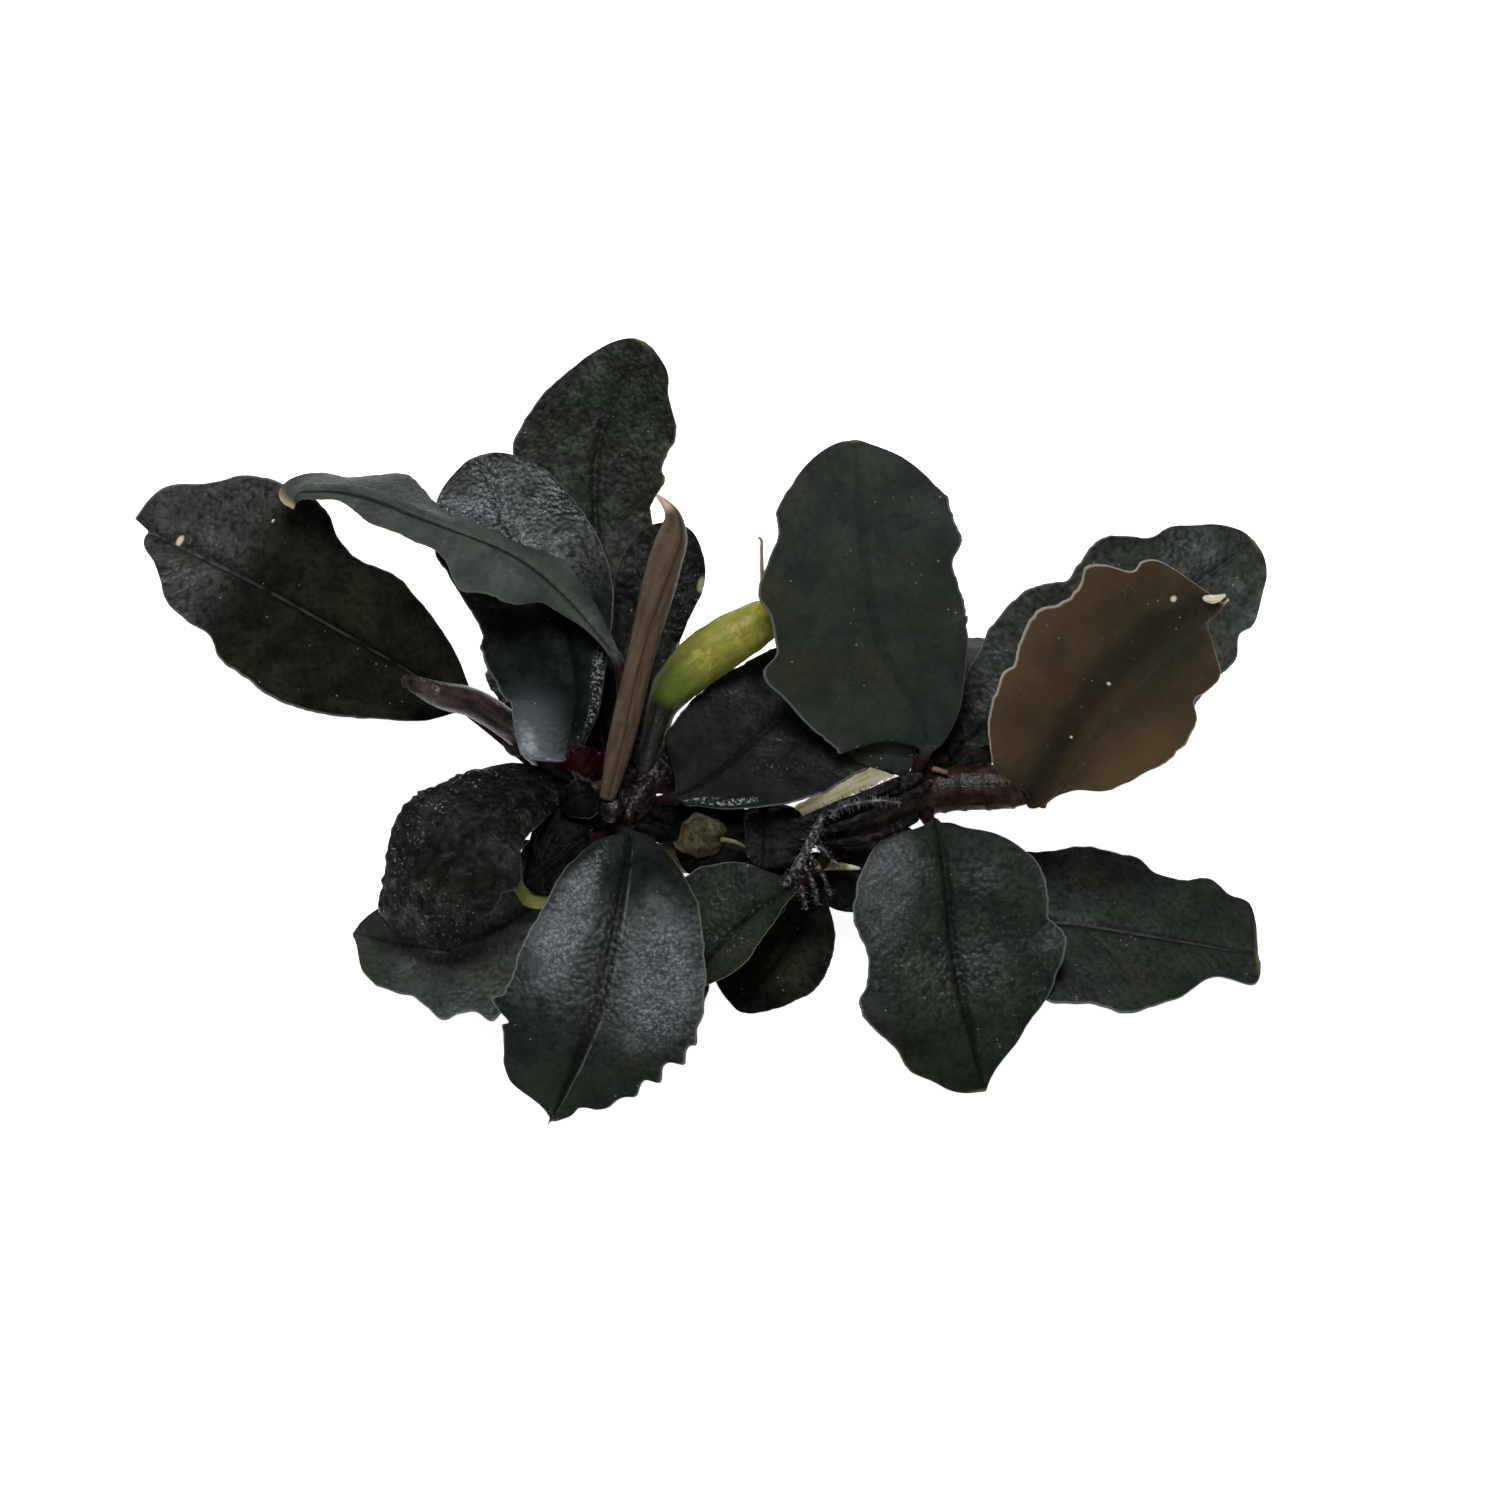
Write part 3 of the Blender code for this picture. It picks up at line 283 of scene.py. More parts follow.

# Small leaves and bracts crowded round the shoots, which no solid stands for. Those in the
# near-black looks are partly painted shade: dark sheets filling the crown where it lies in deep shadow.
BRACT = LEAF | dict(faces=((0, -0.3, 1),), fold=-1, wave=(0.1, 2, 0.4), quilt=0.05, detail=0.4)
BRACT_SEED = 500
BRACTS = {
    "bract_red_left": dict(
        shoot=LEFT, look="red_bract", foot=(-9.7, -4.4, 13.6),
        midrib=((-10.6, -4.6, 14.8), (-12.6, -4.5, 15.8), (-15.2, -4.5, 14.8)),
        left=((10, 1.3), (40, 1.4), (70, 1)), right=((10, 1.2), (40, 1.4), (70, 0.9)),
        faces=((0.1, -0.6, 0.8),), fold=-0.4, groove=0),
    "sheath_red_left": dict(
        shoot=LEFT, look="maroon_sheath", foot=(-9, -7.7, 12.6),
        midrib=((-9.2, -7.3, 13.6), (-9.2, -4.9, 14.8), (-8.7, -1.8, 15.2)),
        left=((10, 1.6), (50, 1.7), (80, 1)), right=((10, 1.8), (50, 2), (80, 1.2)),
        faces=((0, -0.5, 0.9),), fold=-2, groove=0),
    "sheath_red_right": dict(
        shoot=LEFT, look="maroon_sheath", foot=(-6.9, -7.6, 12.4),
        midrib=((-6.4, -6.8, 13.4), (-5.5, -4.5, 14.2), (-4.3, -0.6, 14.4)),
        left=((10, 1.8), (50, 2.2), (80, 1.4)), right=((10, 2.4), (50, 2.8), (80, 1.8)),
        faces=((0, -0.5, 0.9),), fold=-2, groove=0),
    "sheath_red_front": dict(
        shoot=LEFT, look="maroon_sheath", foot=(-8.2, -9.3, 12.6),
        midrib=((-7.8, -8.9, 13.4), (-6.6, -7.4, 14.2), (-5.6, -5.4, 14.4)),
        left=((10, 1.2), (50, 1.5), (80, 0.9)), right=((10, 1.4), (50, 1.6), (80, 0.9)),
        faces=((0, -0.5, 0.9),), fold=-3, groove=0),
    "sheath_under_centre": dict(
        shoot=LEFT, look="deep_shade", foot=(-6.1, -6.4, 10.4),
        midrib=((-4.7, -7.1, 10.8), (-0.9, -8, 11), (3.7, -7.9, 10.8)),
        left=((5, 2.2), (50, 2.4), (90, 1.8)), right=((5, 1.6), (50, 1.6), (90, 1.2)),
        faces=((0, -0.4, 0.9),)),
    "leaf_base_centre": dict(
        shoot=RIGHT, look="matte", foot=(21.6, -3.4, 13.6),
        midrib=((20.3, -3.1, 14.4), (17.4, -2.9, 14.9), (13.9, -2.6, 15.2)),
        left=((10, 1.9), (50, 1.7), (90, 1.1)), right=((10, 1.9), (50, 2), (90, 1.4)),
        faces=((0, -0.6, 0.8),), fold=-0.5),
    # A near-black leaf filling the gap between the front leaves, darkened as painted shade
    "leaf_between_front": dict(
        shoot=RIGHT, look="black_in_shade", foot=(12.8, -9.2, 8.2),
        midrib=((13.2, -10.2, 8.6), (14.2, -12.6, 7.2), (14.6, -15.4, 5.4)),
        left=((5, 4.2), (50, 4.6), (90, 2.8)), right=((5, 5.2), (50, 4.2), (90, 2.6)),
        faces=((0, -0.2, 1),), fold=0),
    "bract_thin_rim": dict(
        shoot=LEFT, look="thin_rim", foot=(-10.2, -5.8, 13.4),
        midrib=((-11, -6.9, 13.8), (-12.5, -7.7, 14.2), (-14.7, -8.2, 13)),
        left=((10, 1.8), (40, 2.4), (80, 1.6)), right=((10, 1.4), (40, 1.8), (80, 1.4))),
    "bract_dark_front": dict(
        shoot=LEFT, look="deep_shade", foot=(-7.9, -8, 12),
        midrib=((-6.8, -9, 12.4), (-4.8, -9.9, 12.4), (-2.2, -9.9, 11.4)),
        left=((10, 1.8), (50, 2), (80, 1.4)), right=((10, 1.6), (50, 1.8), (80, 1.2)),
        faces=((0, -0.4, 0.9),)),
    "sheath_behind": dict(
        shoot=LEFT, look="deep_shade", foot=(-10.2, -4, 11.4),
        midrib=((-10.4, -1.4, 12), (-11, 2.7, 13), (-10.7, 8.8, 14.6)),
        left=((6, 1.8), (50, 2.2), (85, 1.6)), right=((6, 1.8), (50, 2.2), (85, 1.6)), fold=1),
    "leaf_base_left": dict(
        shoot=LEFT, look="deep_shade", foot=(-10.8, -6.4, 11.4),
        midrib=((-12, -6, 11.8), (-15.4, -5.8, 12), (-19, -6.4, 11)), left=((5, 2.6), (40, 3), (80, 2)),
        right=((5, 2.2), (40, 2.6), (80, 1.6)), faces=((0, -0.2, 1),), fold=-0.5, wave=(0.2, 2, 0.4)),
    "leaf_olive_tip": dict(
        shoot=LEFT, look="olive_leaf", foot=(-10.6, -9.4, 9.6),
        midrib=((-12, -10.8, 9.6), (-15.4, -13.6, 9), (-18.2, -16.6, 8.2)),
        left=((10, 2.8), (60, 3), (90, 2)), right=((10, 3.4), (30, 4.2), (60, 3.8), (90, 2.2)), fold=1.5),
    "leaf_pale_rimmed": dict(
        shoot=LEFT, look="thin_rim", foot=(-10.8, -7.8, 11),
        midrib=((-12.2, -7.6, 11.8), (-14.6, -9.4, 11.8), (-16.6, -13, 10.6)),
        left=((10, 2.4), (50, 2.2), (80, 1.6)), right=((10, 2), (50, 1.6), (80, 1.2)),
        faces=((0, -0.2, 1),), fold=0),
    "leaf_over_rhizome": dict(
        shoot=MIDDLE, look="deep_shade", foot=(9, -9, 9.6),
        midrib=((8.5, -9.8, 10), (3.5, -10.2, 10.2), (-3.4, -10.2, 9.8)),
        left=((5, 3.4), (50, 4), (90, 3)), right=((5, 2.8), (50, 3.2), (90, 2.6)), faces=((0, -0.4, 0.9),),
        fold=-0.6, wave=(0.2, 2, 0.4)),
    "leaf_olive_middle": dict(
        shoot=MIDDLE, look="black_in_shade", foot=(5.4, -5.6, 9.4),
        midrib=((5.4, -6.9, 11.2), (5.7, -10.7, 11.8), (5.5, -14.1, 10.8)),
        left=((10, 2.6), (50, 4), (85, 3)), right=((10, 1.9), (50, 2.2), (85, 1.9)), fold=0.4),
    "bract_centre_base": dict(
        shoot=RIGHT, look="deep_shade", foot=(21.2, -3.6, 12.9),
        midrib=((21.4, -2.9, 13.5), (21.7, -1.4, 14), (22, 0.6, 14.3)),
        left=((5, 2), (50, 2.2), (90, 1.6)), right=((5, 2), (50, 2.2), (90, 1.6)), fold=-0.5),
    # A near-black bract over the base of leaf_right_back, darkening it as painted shade
    "bract_right_base": dict(
        shoot=RIGHT, look="black_in_shade", foot=(22.9, -3, 12.8),
        midrib=((23.7, -2.7, 13.4), (25.7, -0.9, 13.8), (28.2, 2, 13.8)),
        left=((5, 2.4), (40, 3.2), (80, 2.4)), right=((5, 2.2), (40, 3), (80, 2.2)),
        faces=((0, -0.4, 0.9),), wave=(0.2, 2, 0.4)),
}

# Thin roots clinging to the right shoot and the rhizome: points along each, radii, and
# hairs as (count, length, thickness); seeds are those of the first root's lumps and hairs
BLACK_STRANDS = dict(
    paths=(
        ((8.1, -9.4, 11.5), (11.9, -8.2, 12.8), (16, -6.8, 13.6), (20.4, -4.6, 14)),
        ((8.7, -10.1, 11.5), (12.5, -9.1, 12.8), (16.4, -7.7, 13.6), (20.8, -5.4, 14)),
        ((10.1, -8.8, 12), (13.9, -8, 13.2), (17.6, -6.7, 14), (21, -5, 14.2)),
        ((9.5, -10.9, 11.5), (13.4, -10.2, 12.8), (17.4, -8.7, 13.6), (22, -5.8, 13.8)),
        ((8.9, -9.6, 12), (11.3, -9.3, 13), (14.8, -8, 14), (18.8, -6.3, 14.6)),
        ((10.1, -10.1, 10.5), (13.4, -10.9, 11), (17.2, -10.3, 11.4), (20.6, -8.4, 11.8)),
        ((11.3, -10.2, 10), (14, -11, 10.4), (17.4, -10.9, 10.8), (20, -9.6, 11.2)),
    ),
    radii=0.45, rings=60, sides=12, hair=(90, 0.7, 0.05), seeds=(40, 50))
GREY_ARC = dict(
    paths=(((11.8, -10, 13.5), (12.4, -9.5, 14), (14.5, -9, 14.6), (16.7, -9, 15), (18.9, -9, 14.6)),),
    radii=0.13, rings=60, sides=12, hair=(160, 0.6, 0.04), seeds=(44, 55))
HAIRY_ROOT = dict(
    paths=(((11.3, -9.1, 13), (10.7, -10.4, 12.8), (9.5, -13.3, 12.6), (8.5, -15.2, 12.2),
            (7.3, -16.7, 11)),),
    radii=(0.45, 0.5, 0.5, 0.45, 0.3), rings=60, sides=16, hair=(220, 0.6, 0.05), seeds=(46, 57))
SIDE_ROOTS = dict(
    paths=(
        ((9, -14.3, 12), (10.1, -16, 11), (10.6, -17.7, 9.4)),
        ((8.6, -15.3, 12), (9, -16.7, 11), (9.5, -18.2, 9.4)),
        ((9.5, -13.2, 12.2), (11, -14.8, 11), (11.9, -16.5, 9.4)),
        ((10.1, -11.9, 12.4), (11.5, -12.6, 11.4), (12.7, -13.5, 10)),
    ),
    radii=0.22, rings=40, sides=10, hair=(60, 0.5, 0.04), seeds=(60, 70))
UPPER_ROOT = dict(
    paths=(((18.6, -6, 13.5), (14.8, -7.6, 12.6), (9.4, -9.3, 10.5), (7.4, -10.8, 8.6)),),
    radii=(0.6, 0.8, 0.7, 0.4), rings=60, sides=20, hair=(160, 0.9, 0.06), seeds=(8, 3))
HAIR_DROOP = 0.2

# Small round pieces of the crown: points, radii, look and material slot
CROWN_PIECES = {
    "spike_right": (((10.7, -12.4, 9), (12.9, -12.6, 9.2), (14.9, -12.6, 8.8)),
                    (0.5, 0.4, 0.12), "yellow_spike", "pale_stalk"),
    "spike_middle": (((1.1, -11, 11.4), (2.4, -11.6, 11.8), (3.7, -11.9, 11.2)),
                     (0.25, 0.22, 0.1), "yellow_spike", "pale_stalk"),
    "rhizome_knob": (((-3.5, -10.7, 10.2), (-1.9, -10.1, 10.5), (0.1, -9.6, 10.5), (1.6, -9, 10)),
                     (1.3, 2, 2, 1.1), "rhizome", "olive_rhizome"),
    "leaf_scar": (((22, -4, 13.9), (23.6, -4.8, 14.2)), (0.3, 0.25), "scar", "pale_stalk"),
    "tip_hook": (((47.2, -1.2, 36.1), (48.2, -1.7, 36.4), (49.3, -1.6, 36.9)),
                 (0.25, 0.4, 0.12), "cream_hook", "bronze_leaf"),
    "stalk_cup": (((-9.8, -9.8, 12.6), (-9.6, -9.1, 13.8), (-9.2, -8, 14.6)),
                  (0.9, 1.2, 0.7), "crown", "maroon_shoot"),
    "dark_spike": (((-18.7, -1.1, 13), (-20.1, -0.6, 13), (-20.7, 0.2, 13.2)),
                   (0.6, 0.4, 0.1), "root", "root"),
}

# The rolled new leaf and the cut-off rolled leaf; seam is the angle of the free edge
ROLLED_NEW_LEAF = dict(
    points=((-10, -8.7, 14.8), (-8.8, -5.2, 18.2), (-6.4, 2.2, 25), (-4.2, 8.2, 31), (-3.5, 9.8, 33),
            (-3.5, 10.8, 34.7), (-5.05, 11.9, 36.4)),
    radii=(0.85, 1.35, 1.5, 1.85, 1.65, 0.9, 0.2),
    seam=(85, 85, 88, 66, 54, 50, 50),
    turns=1.36, slant=0)
ROLLED_STUMP = dict(
    points=((-11.6, -5.8, 11.8), (-16.8, -1.2, 12.4), (-20.3, 2, 13.5), (-23.6, 2.9, 15.7),
            (-27, 2.3, 17.8), (-29.3, 2.3, 19.4)),
    radii=(1, 1.4, 1.6, 1.65, 1.45, 0.9),
    seam=(250, 250, 250, 245, 235, 225),
    turns=1.3, slant=1.2)
ROLL_THICKNESS = 0.26
ROLL_TIGHTENING = 0.24

# The spathe with its stalk, its thread and the old stalk: points and radii
SPATHE = (((-6.8, -5.1, 13.2), (-5.9, -2.1, 14.5), (-5.3, 0.1, 15.3), (-4.8, 2, 16.1), (-3.8, 3.6, 17),
           (-2.2, 5.1, 18), (-0.2, 6.6, 18.9), (2.5, 8.1, 20), (7, 10.5, 20.9)),
          (1.1, 1.25, 1.35, 1.5, 2.05, 2.4, 2.55, 2.55, 1.8))
SPATHE_THREAD = (((5.4, 11, 21.8), (5.2, 13.6, 23.6), (5.15, 15.2, 25.2), (5.1, 15.8, 25.9), (4.7, 16, 26.1)),
                 (0.3, 0.22, 0.18, 0.16, 0.12))
OLD_STALK = (((18.5, -0.9, 10.5), (15.6, -2.6, 10.7), (13, -4.1, 10.5), (10.4, -5.4, 10), (8.4, -6.4, 9.6)),
             (0.8, 0.95, 0.95, 0.9, 0.8))

# The wiry roots under the plant
ROOT_RADIUS = 0.5
ROOT_PATHS = {
    "root_left": ((-9.4, -8.8, 5.6), (-12, -7, 3), (-17, -4, 1.6), (-23, -3, 0.5)),
    "root_left_back": ((-4.6, -6.6, 5), (-5, -2, 3.4), (-8, 5, 1.2), (-7, 12, 0.5)),
    "root_middle": ((0, -9.8, 4.2), (-1, -12, 3), (0, -17, 1.4), (-1.4, -24, 0.5)),
    "root_back": ((5.6, -5.8, 4.8), (6, -2, 3.6), (4.6, 6, 1.2), (6, 13, 0.5)),
    "root_right": ((15.4, -8, 6.6), (17, -9, 4), (20, -6, 1.4), (28, -5, 0.5)),
    "root_right_back": ((19, -4, 7.9), (18, -1, 4.6), (15, 4, 1.6), (16, 11, 0.5)),
}


def unit(vectors):
    """Vectors scaled to length one."""
    vectors = np.asarray(vectors, float)
    return vectors / np.maximum(np.linalg.norm(vectors, axis=-1, keepdims=True), 1e-12)


def ease(x):
    """Smooth step from 0 to 1."""
    x = np.clip(x, 0, 1)
    return x * x * (3 - 2 * x)


def smooth(knots, values, at):
    """Smooth curve through the values at the knots."""
    knots = np.asarray(knots, float)
    values = np.asarray(values, float)
    if values.ndim == 1:
        return smooth(knots, values[:, None], at)[:, 0]
    step = np.diff(knots)
    slope = np.diff(values, axis=0) / step[:, None]
    tangent = np.empty_like(values)
    if len(knots) == 2:
        tangent[:] = slope[0]
    else:
        share = (step[1:] / (step[1:] + step[:-1]))[:, None]
        tangent[1:-1] = slope[:-1] * share + slope[1:] * (1 - share)
        tangent[0] = 1.5 * slope[0] - 0.5 * tangent[1]
        tangent[-1] = 1.5 * slope[-1] - 0.5 * tangent[-2]
    at = np.clip(np.asarray(at, float), knots[0], knots[-1])
    i = np.clip(np.searchsorted(knots, at, side="right") - 1, 0, len(knots) - 2)
    h = step[i][:, None]
    t = ((at - knots[i]) / step[i])[:, None]
    return (
        (2 * t**3 - 3 * t**2 + 1) * values[i]
        + (t**3 - 2 * t**2 + t) * h * tangent[i]
        + (3 * t**2 - 2 * t**3) * values[i + 1]
        + (t**3 - t**2) * h * tangent[i + 1]
    )


def lengths(line):
    """Distance along a line of points, from its start."""
    return np.r_[0, np.cumsum(np.linalg.norm(np.diff(line, axis=0), axis=1))]


def graded(count, share):
    """Steps from 0 to 1, drawn closer together at both ends by the share."""
    even = np.linspace(0, 1, count)
    return (1 - share) * even + share * (1 - np.cos(even * math.pi)) / 2


def chord_knots(points):
    """Knots from 0 to 1 by the distance between the points."""
    chord = lengths(points)
    return chord / chord[-1]


def value_noise(x, y, seed):
    """Smooth noise between -1 and 1 with features about one unit wide."""
    table = np.random.default_rng(seed).uniform(-1, 1, (NOISE_CELLS, NOISE_CELLS))
    i, j = np.floor(x).astype(int), np.floor(y).astype(int)
    u, v = ease(x - i), ease(y - j)
    here, beyond = i % NOISE_CELLS, (i + 1) % NOISE_CELLS
    low, high = (table[here, row % NOISE_CELLS] * (1 - u) + table[beyond, row % NOISE_CELLS] * u
                 for row in (j, j + 1))
    return low * (1 - v) + high * v


def layered_noise(x, y, seed):
    """Noise with finer noise on top, between -1 and 1."""
    x, y = np.broadcast_arrays(x, y)
    total = np.zeros(x.shape)
    for k in range(NOISE_LAYERS):
        total += value_noise(x * 2**k, y * 2**k, seed + k) / 2**k
    return total / sum(1 / 2**k for k in range(NOISE_LAYERS))


def cell_domes(x, y, seed):
    """Domes about one unit wide with creases between them, from 0 to 1."""
    jitter = np.random.default_rng(seed).uniform(0.1, 0.9, (NOISE_CELLS, NOISE_CELLS, 2))
    i, j = np.floor(x).astype(int), np.floor(y).astype(int)
    nearest = np.full(np.shape(x), 9.0)
    second = np.full(np.shape(x), 9.0)
    for a in (-1, 0, 1):
        for b in (-1, 0, 1):
            spot = jitter[(i + a) % NOISE_CELLS, (j + b) % NOISE_CELLS]
            away = np.hypot(i + a + spot[..., 0] - x, j + b + spot[..., 1] - y)
            second = np.minimum(second, np.maximum(nearest, away))
            nearest = np.minimum(nearest, away)
    return ease((second - nearest) / CREASE_WIDTH)


def half_width(pairs, s):
    """Half-width of a blade at fractions s, rounded off at base and tip."""
    stations = np.array([0] + [percent / 100 for percent, _ in pairs] + [1])
    widths = [STALK_RADIUS] + [width for _, width in pairs] + [TIP_WIDTH]
    turned = smooth(np.arccos(1 - 2 * stations), widths, np.arccos(1 - 2 * s))
    return np.maximum(turned, LEAST_WIDTH)


def seat_on_shoot(foot, shoot):
    """Point on the shoot's skin nearest the foot, and the way out."""
    points, radii, _ = SHOOTS[shoot]
    knots = chord_knots(points)
    along = np.linspace(0, 1, CURVE_SAMPLES // 2)
    middle = smooth(knots, points, along)
    nearest = np.linalg.norm(middle - foot, axis=1).argmin()
    outward = unit(foot - middle[nearest])
    return middle[nearest] + outward * smooth(knots, radii, along)[nearest], outward


def leaf_line(leaf):
    """Middle line of stalk and blade, and where on it the blade starts."""
    seat, outward = seat_on_shoot(leaf["foot"], leaf["shoot"])
    stalk = [seat - outward * JOIN_DEPTH, seat + outward * STALK_STEP, *leaf["stalk"]]
    points = np.array([*stalk, *leaf["midrib"]], float)
    knots = chord_knots(points)
    along = np.linspace(0, 1, CURVE_SAMPLES)
    length = lengths(smooth(knots, points, along))
    return points, knots, along, length, np.interp(knots[len(stalk)], along, length)


def leaf_frames(leaf, line, s):
    """Points, sides and normals of the leaf at blade fractions s."""
    points, knots, along, length, blade_from = line
    at = np.interp(blade_from + s * (length[-1] - blade_from), length, along)
    forward = unit(smooth(knots, points, at + FRAME_STEP) - smooth(knots, points, at - FRAME_STEP))
    faces = np.array(leaf["faces"] if len(leaf["faces"]) > 1 else leaf["faces"] * 2, float)
    face = smooth(np.linspace(0, 1, len(faces)), faces, s)
    side = unit(np.cross(forward, face))
    return smooth(knots, points, at), side, np.cross(side, forward)


def relief(leaf, s, across, width, blade_length, seed):
    """Height of the blade's quilting, groove, veins and ruffled edge."""
    x = across * width
    y = s * blade_length
    out = np.abs(x)
    size = leaf["dome_size"]
    zone_from, zone_to = leaf["quilt_zone"]
    where = ease((layered_noise(x / QUILT_PATCH + 31, y / QUILT_PATCH, seed + 3) + 0.45) / 0.6)
    for inside in (s - zone_from, zone_to - s):
        where = where * ease((inside / ZONE_SOFTNESS + 1) / 2)
    domes = cell_domes(x / size + 20, y / size, seed) - 0.5
    broad = layered_noise(x / SWELL_SIZE + 9, y / SWELL_SIZE, seed + 5)
    groove = -np.exp(-(out / MIDRIB_HALF_WIDTH) ** 2)
    shoulder = np.exp(-((out - SHOULDER_OUT) / SHOULDER_HALF_WIDTH) ** 2)
    wander = value_noise(x / VEIN_WANDER, y / VEIN_WANDER + 7, seed + 9)
    vein = (y - VEIN_SLOPE * out + 0.5 * wander) / VEIN_SPACING
    lateral = -np.exp(-((vein - np.round(vein)) / VEIN_SHARE) ** 2)
    body = ease(out / BESIDE_MIDRIB) * ease((1 - np.abs(across)) / BESIDE_RIM)
    edge = np.sign(across)
    ruffle = layered_noise(s * RUFFLES + 3 * edge, 0.3 * edge + 5, seed + 13)
    ends = np.sqrt(np.sin(math.pi * s).clip(0))
    return (
        leaf["quilt"] * domes * body * where
        + 4 * leaf["puff"] * np.abs(across) * (1 - np.abs(across)) * ends
        + leaf["swell"] * broad * body
        + leaf["groove"] * (groove + SHOULDER_SHARE * shoulder) * (1 - GROOVE_FADE * s)
        + leaf["veins"] * lateral * body
        + RUFFLE_HEIGHT * ruffle * across**4 * ends
    )


def edge_marks(leaf, s, across):
    """Shift of the blade outwards, ahead and up near its marked lobes, notches and hooks."""
    shift = np.zeros((3, *across.shape))
    for side, at, extent, out, ahead, up in leaf["marks"]:
        share = np.exp(-((s - at) / extent) ** 2) * np.clip(across * side, 0, 1) ** MARK_POWER
        shift += np.multiply.outer((side * out, ahead, up), share)
    return shift


def surface(leaf, s, columns, sign, stalk_part, blade_length, seed):
    """Upper (1) or lower (-1) side of the leaf: its places aside, ahead and up, and across the blade."""
    even = sign * np.linspace(-1, 1, columns)
    c = (1 - EDGE_CROWDING) * even + EDGE_CROWDING * np.sin(even * math.pi / 2)
    c = np.tile(c, (len(s), 1))
    inside = np.clip(s, 0, 1)[:, None]
    left, right = (half_width(leaf[key], inside[:, 0])[:, None] for key in ("left", "right"))
    edge = np.sign(c)
    teeth = layered_noise(inside * leaf["teeth"] + 5 * edge, edge + 3.5, seed + 21)
    width = np.where(c < 0, left, right) * (1 + leaf["tooth"] * teeth)
    height, waves, start_right = leaf["wave"]
    wave = np.sin(2 * math.pi * (waves * inside + np.where(c < 0, 0, start_right)))
    rise = leaf["fold"] * np.abs(c) ** FOLD_POWER * width / FOLD_HALF_WIDTH
    rise += height * np.sqrt(np.sin(math.pi * inside).clip(0)) * c**2 * wave
    rise += relief(leaf, inside, c, width, blade_length, seed)
    rim = np.sqrt(np.clip(1 - ((np.abs(c) - 1 + RIM_SHARE) / RIM_SHARE).clip(0) ** 2, 0.12, 1))
    rise += sign * rim * (RIM_THICKNESS + (BLADE_THICKNESS - RIM_THICKNESS) * (1 - c**2)) / 2
    if sign < 0:
        rise -= KEEL_DEPTH * np.exp(-(c * width / KEEL_HALF_WIDTH) ** 2) * (1 - KEEL_FADE * inside)
    turn = math.pi * (1 - (np.arange(columns) + 0.5) / columns)
    flat = ease(s / BLADE_START)[:, None]
    foot = np.clip(-2 * s / stalk_part - 1, 0, 1)[:, None] ** 2
    stalk = sign * (1 - flat) * STALK_RADIUS * (1 + STALK_FLARE * foot)
    out, ahead, up = edge_marks(leaf, inside, c)
    return stalk * np.cos(turn) + flat * c * width + out, ahead, stalk * np.sin(turn) + flat * rise + up, c


def leaf_mesh(name, leaf, seed):
    """The leaf as one closed mesh; UV gives the place along and across the blade."""
    line = leaf_line(leaf)
    length, blade_from = line[3:]
    blade_length = length[-1] - blade_from
    stalk_part = blade_from / blade_length
    on_stalk = stalk_part * np.linspace(-1, 0, STALK_RINGS)[:-1]
    s = np.r_[on_stalk, graded(int(BLADE_RINGS * leaf["detail"]), 0.25)]
    columns = [int(count * leaf["detail"]) | 1 for count in (FINE_COLUMNS, COARSE_COLUMNS)]
    if leaf["shows_underside"]:
        columns.reverse()
    halves = (surface(leaf, s, count, sign, stalk_part, blade_length, seed)
              for count, sign in zip(columns, (1, -1)))
    aside, ahead, up, across = (np.hstack(pair) for pair in zip(*halves))
    point, side, normal = leaf_frames(leaf, line, s)
    rings = set_out(point, (aside, side), (ahead, np.cross(normal, side)), (up, normal))
    return solid(name, [loft(rings, s[:, None], across / 2 + 0.5, np.repeat((0, 1), columns))])


def set_out(line, *parts):
    """Points beside a line; each part is a reach and the direction it goes in."""
    return line[:, None] + sum(reach[..., None] * way[:, None] for reach, way in parts)


def loft(rings, u, v, slots=None):
    """Closed skin over rings of corners: corners, faces, UV of each corner, slot of each face."""
    count, sides = rings.shape[:2]
    corners = np.vstack((rings.reshape(-1, 3), rings[0].mean(0), rings[-1].mean(0)))
    ring = np.arange(sides)
    after = (ring + 1) % sides
    row = sides * np.arange(count - 1)[:, None]
    last = sides * (count - 1)
    quads = np.stack((row + ring, row + after, row + sides + after, row + sides + ring), -1).reshape(-1, 4)
    first_fan = np.stack((np.full(sides, last + sides), after, ring), -1)
    last_fan = np.stack((np.full(sides, last + sides + 1), last + ring, last + after), -1)
    faces = quads.tolist() + first_fan.tolist() + last_fan.tolist()
    a, b, c, d = (corners[quads[:, k]] - corners.mean(0) for k in range(4))
    volume = (a * (np.cross(b, c) + np.cross(c, d))).sum()
    if volume <= 0:
        faces = [face[::-1] for face in faces]
    u, v = (np.broadcast_to(part, (count, sides)) for part in (u, v))
    corner_uv = np.stack((np.r_[u.ravel(), u[0].mean(), u[-1].mean()], np.r_[v.ravel(), 0.5, 0.5]), -1)
    slots = np.zeros(sides, int) if slots is None else slots
    return corners, faces, corner_uv, np.r_[np.tile(slots, count - 1), slots, slots]


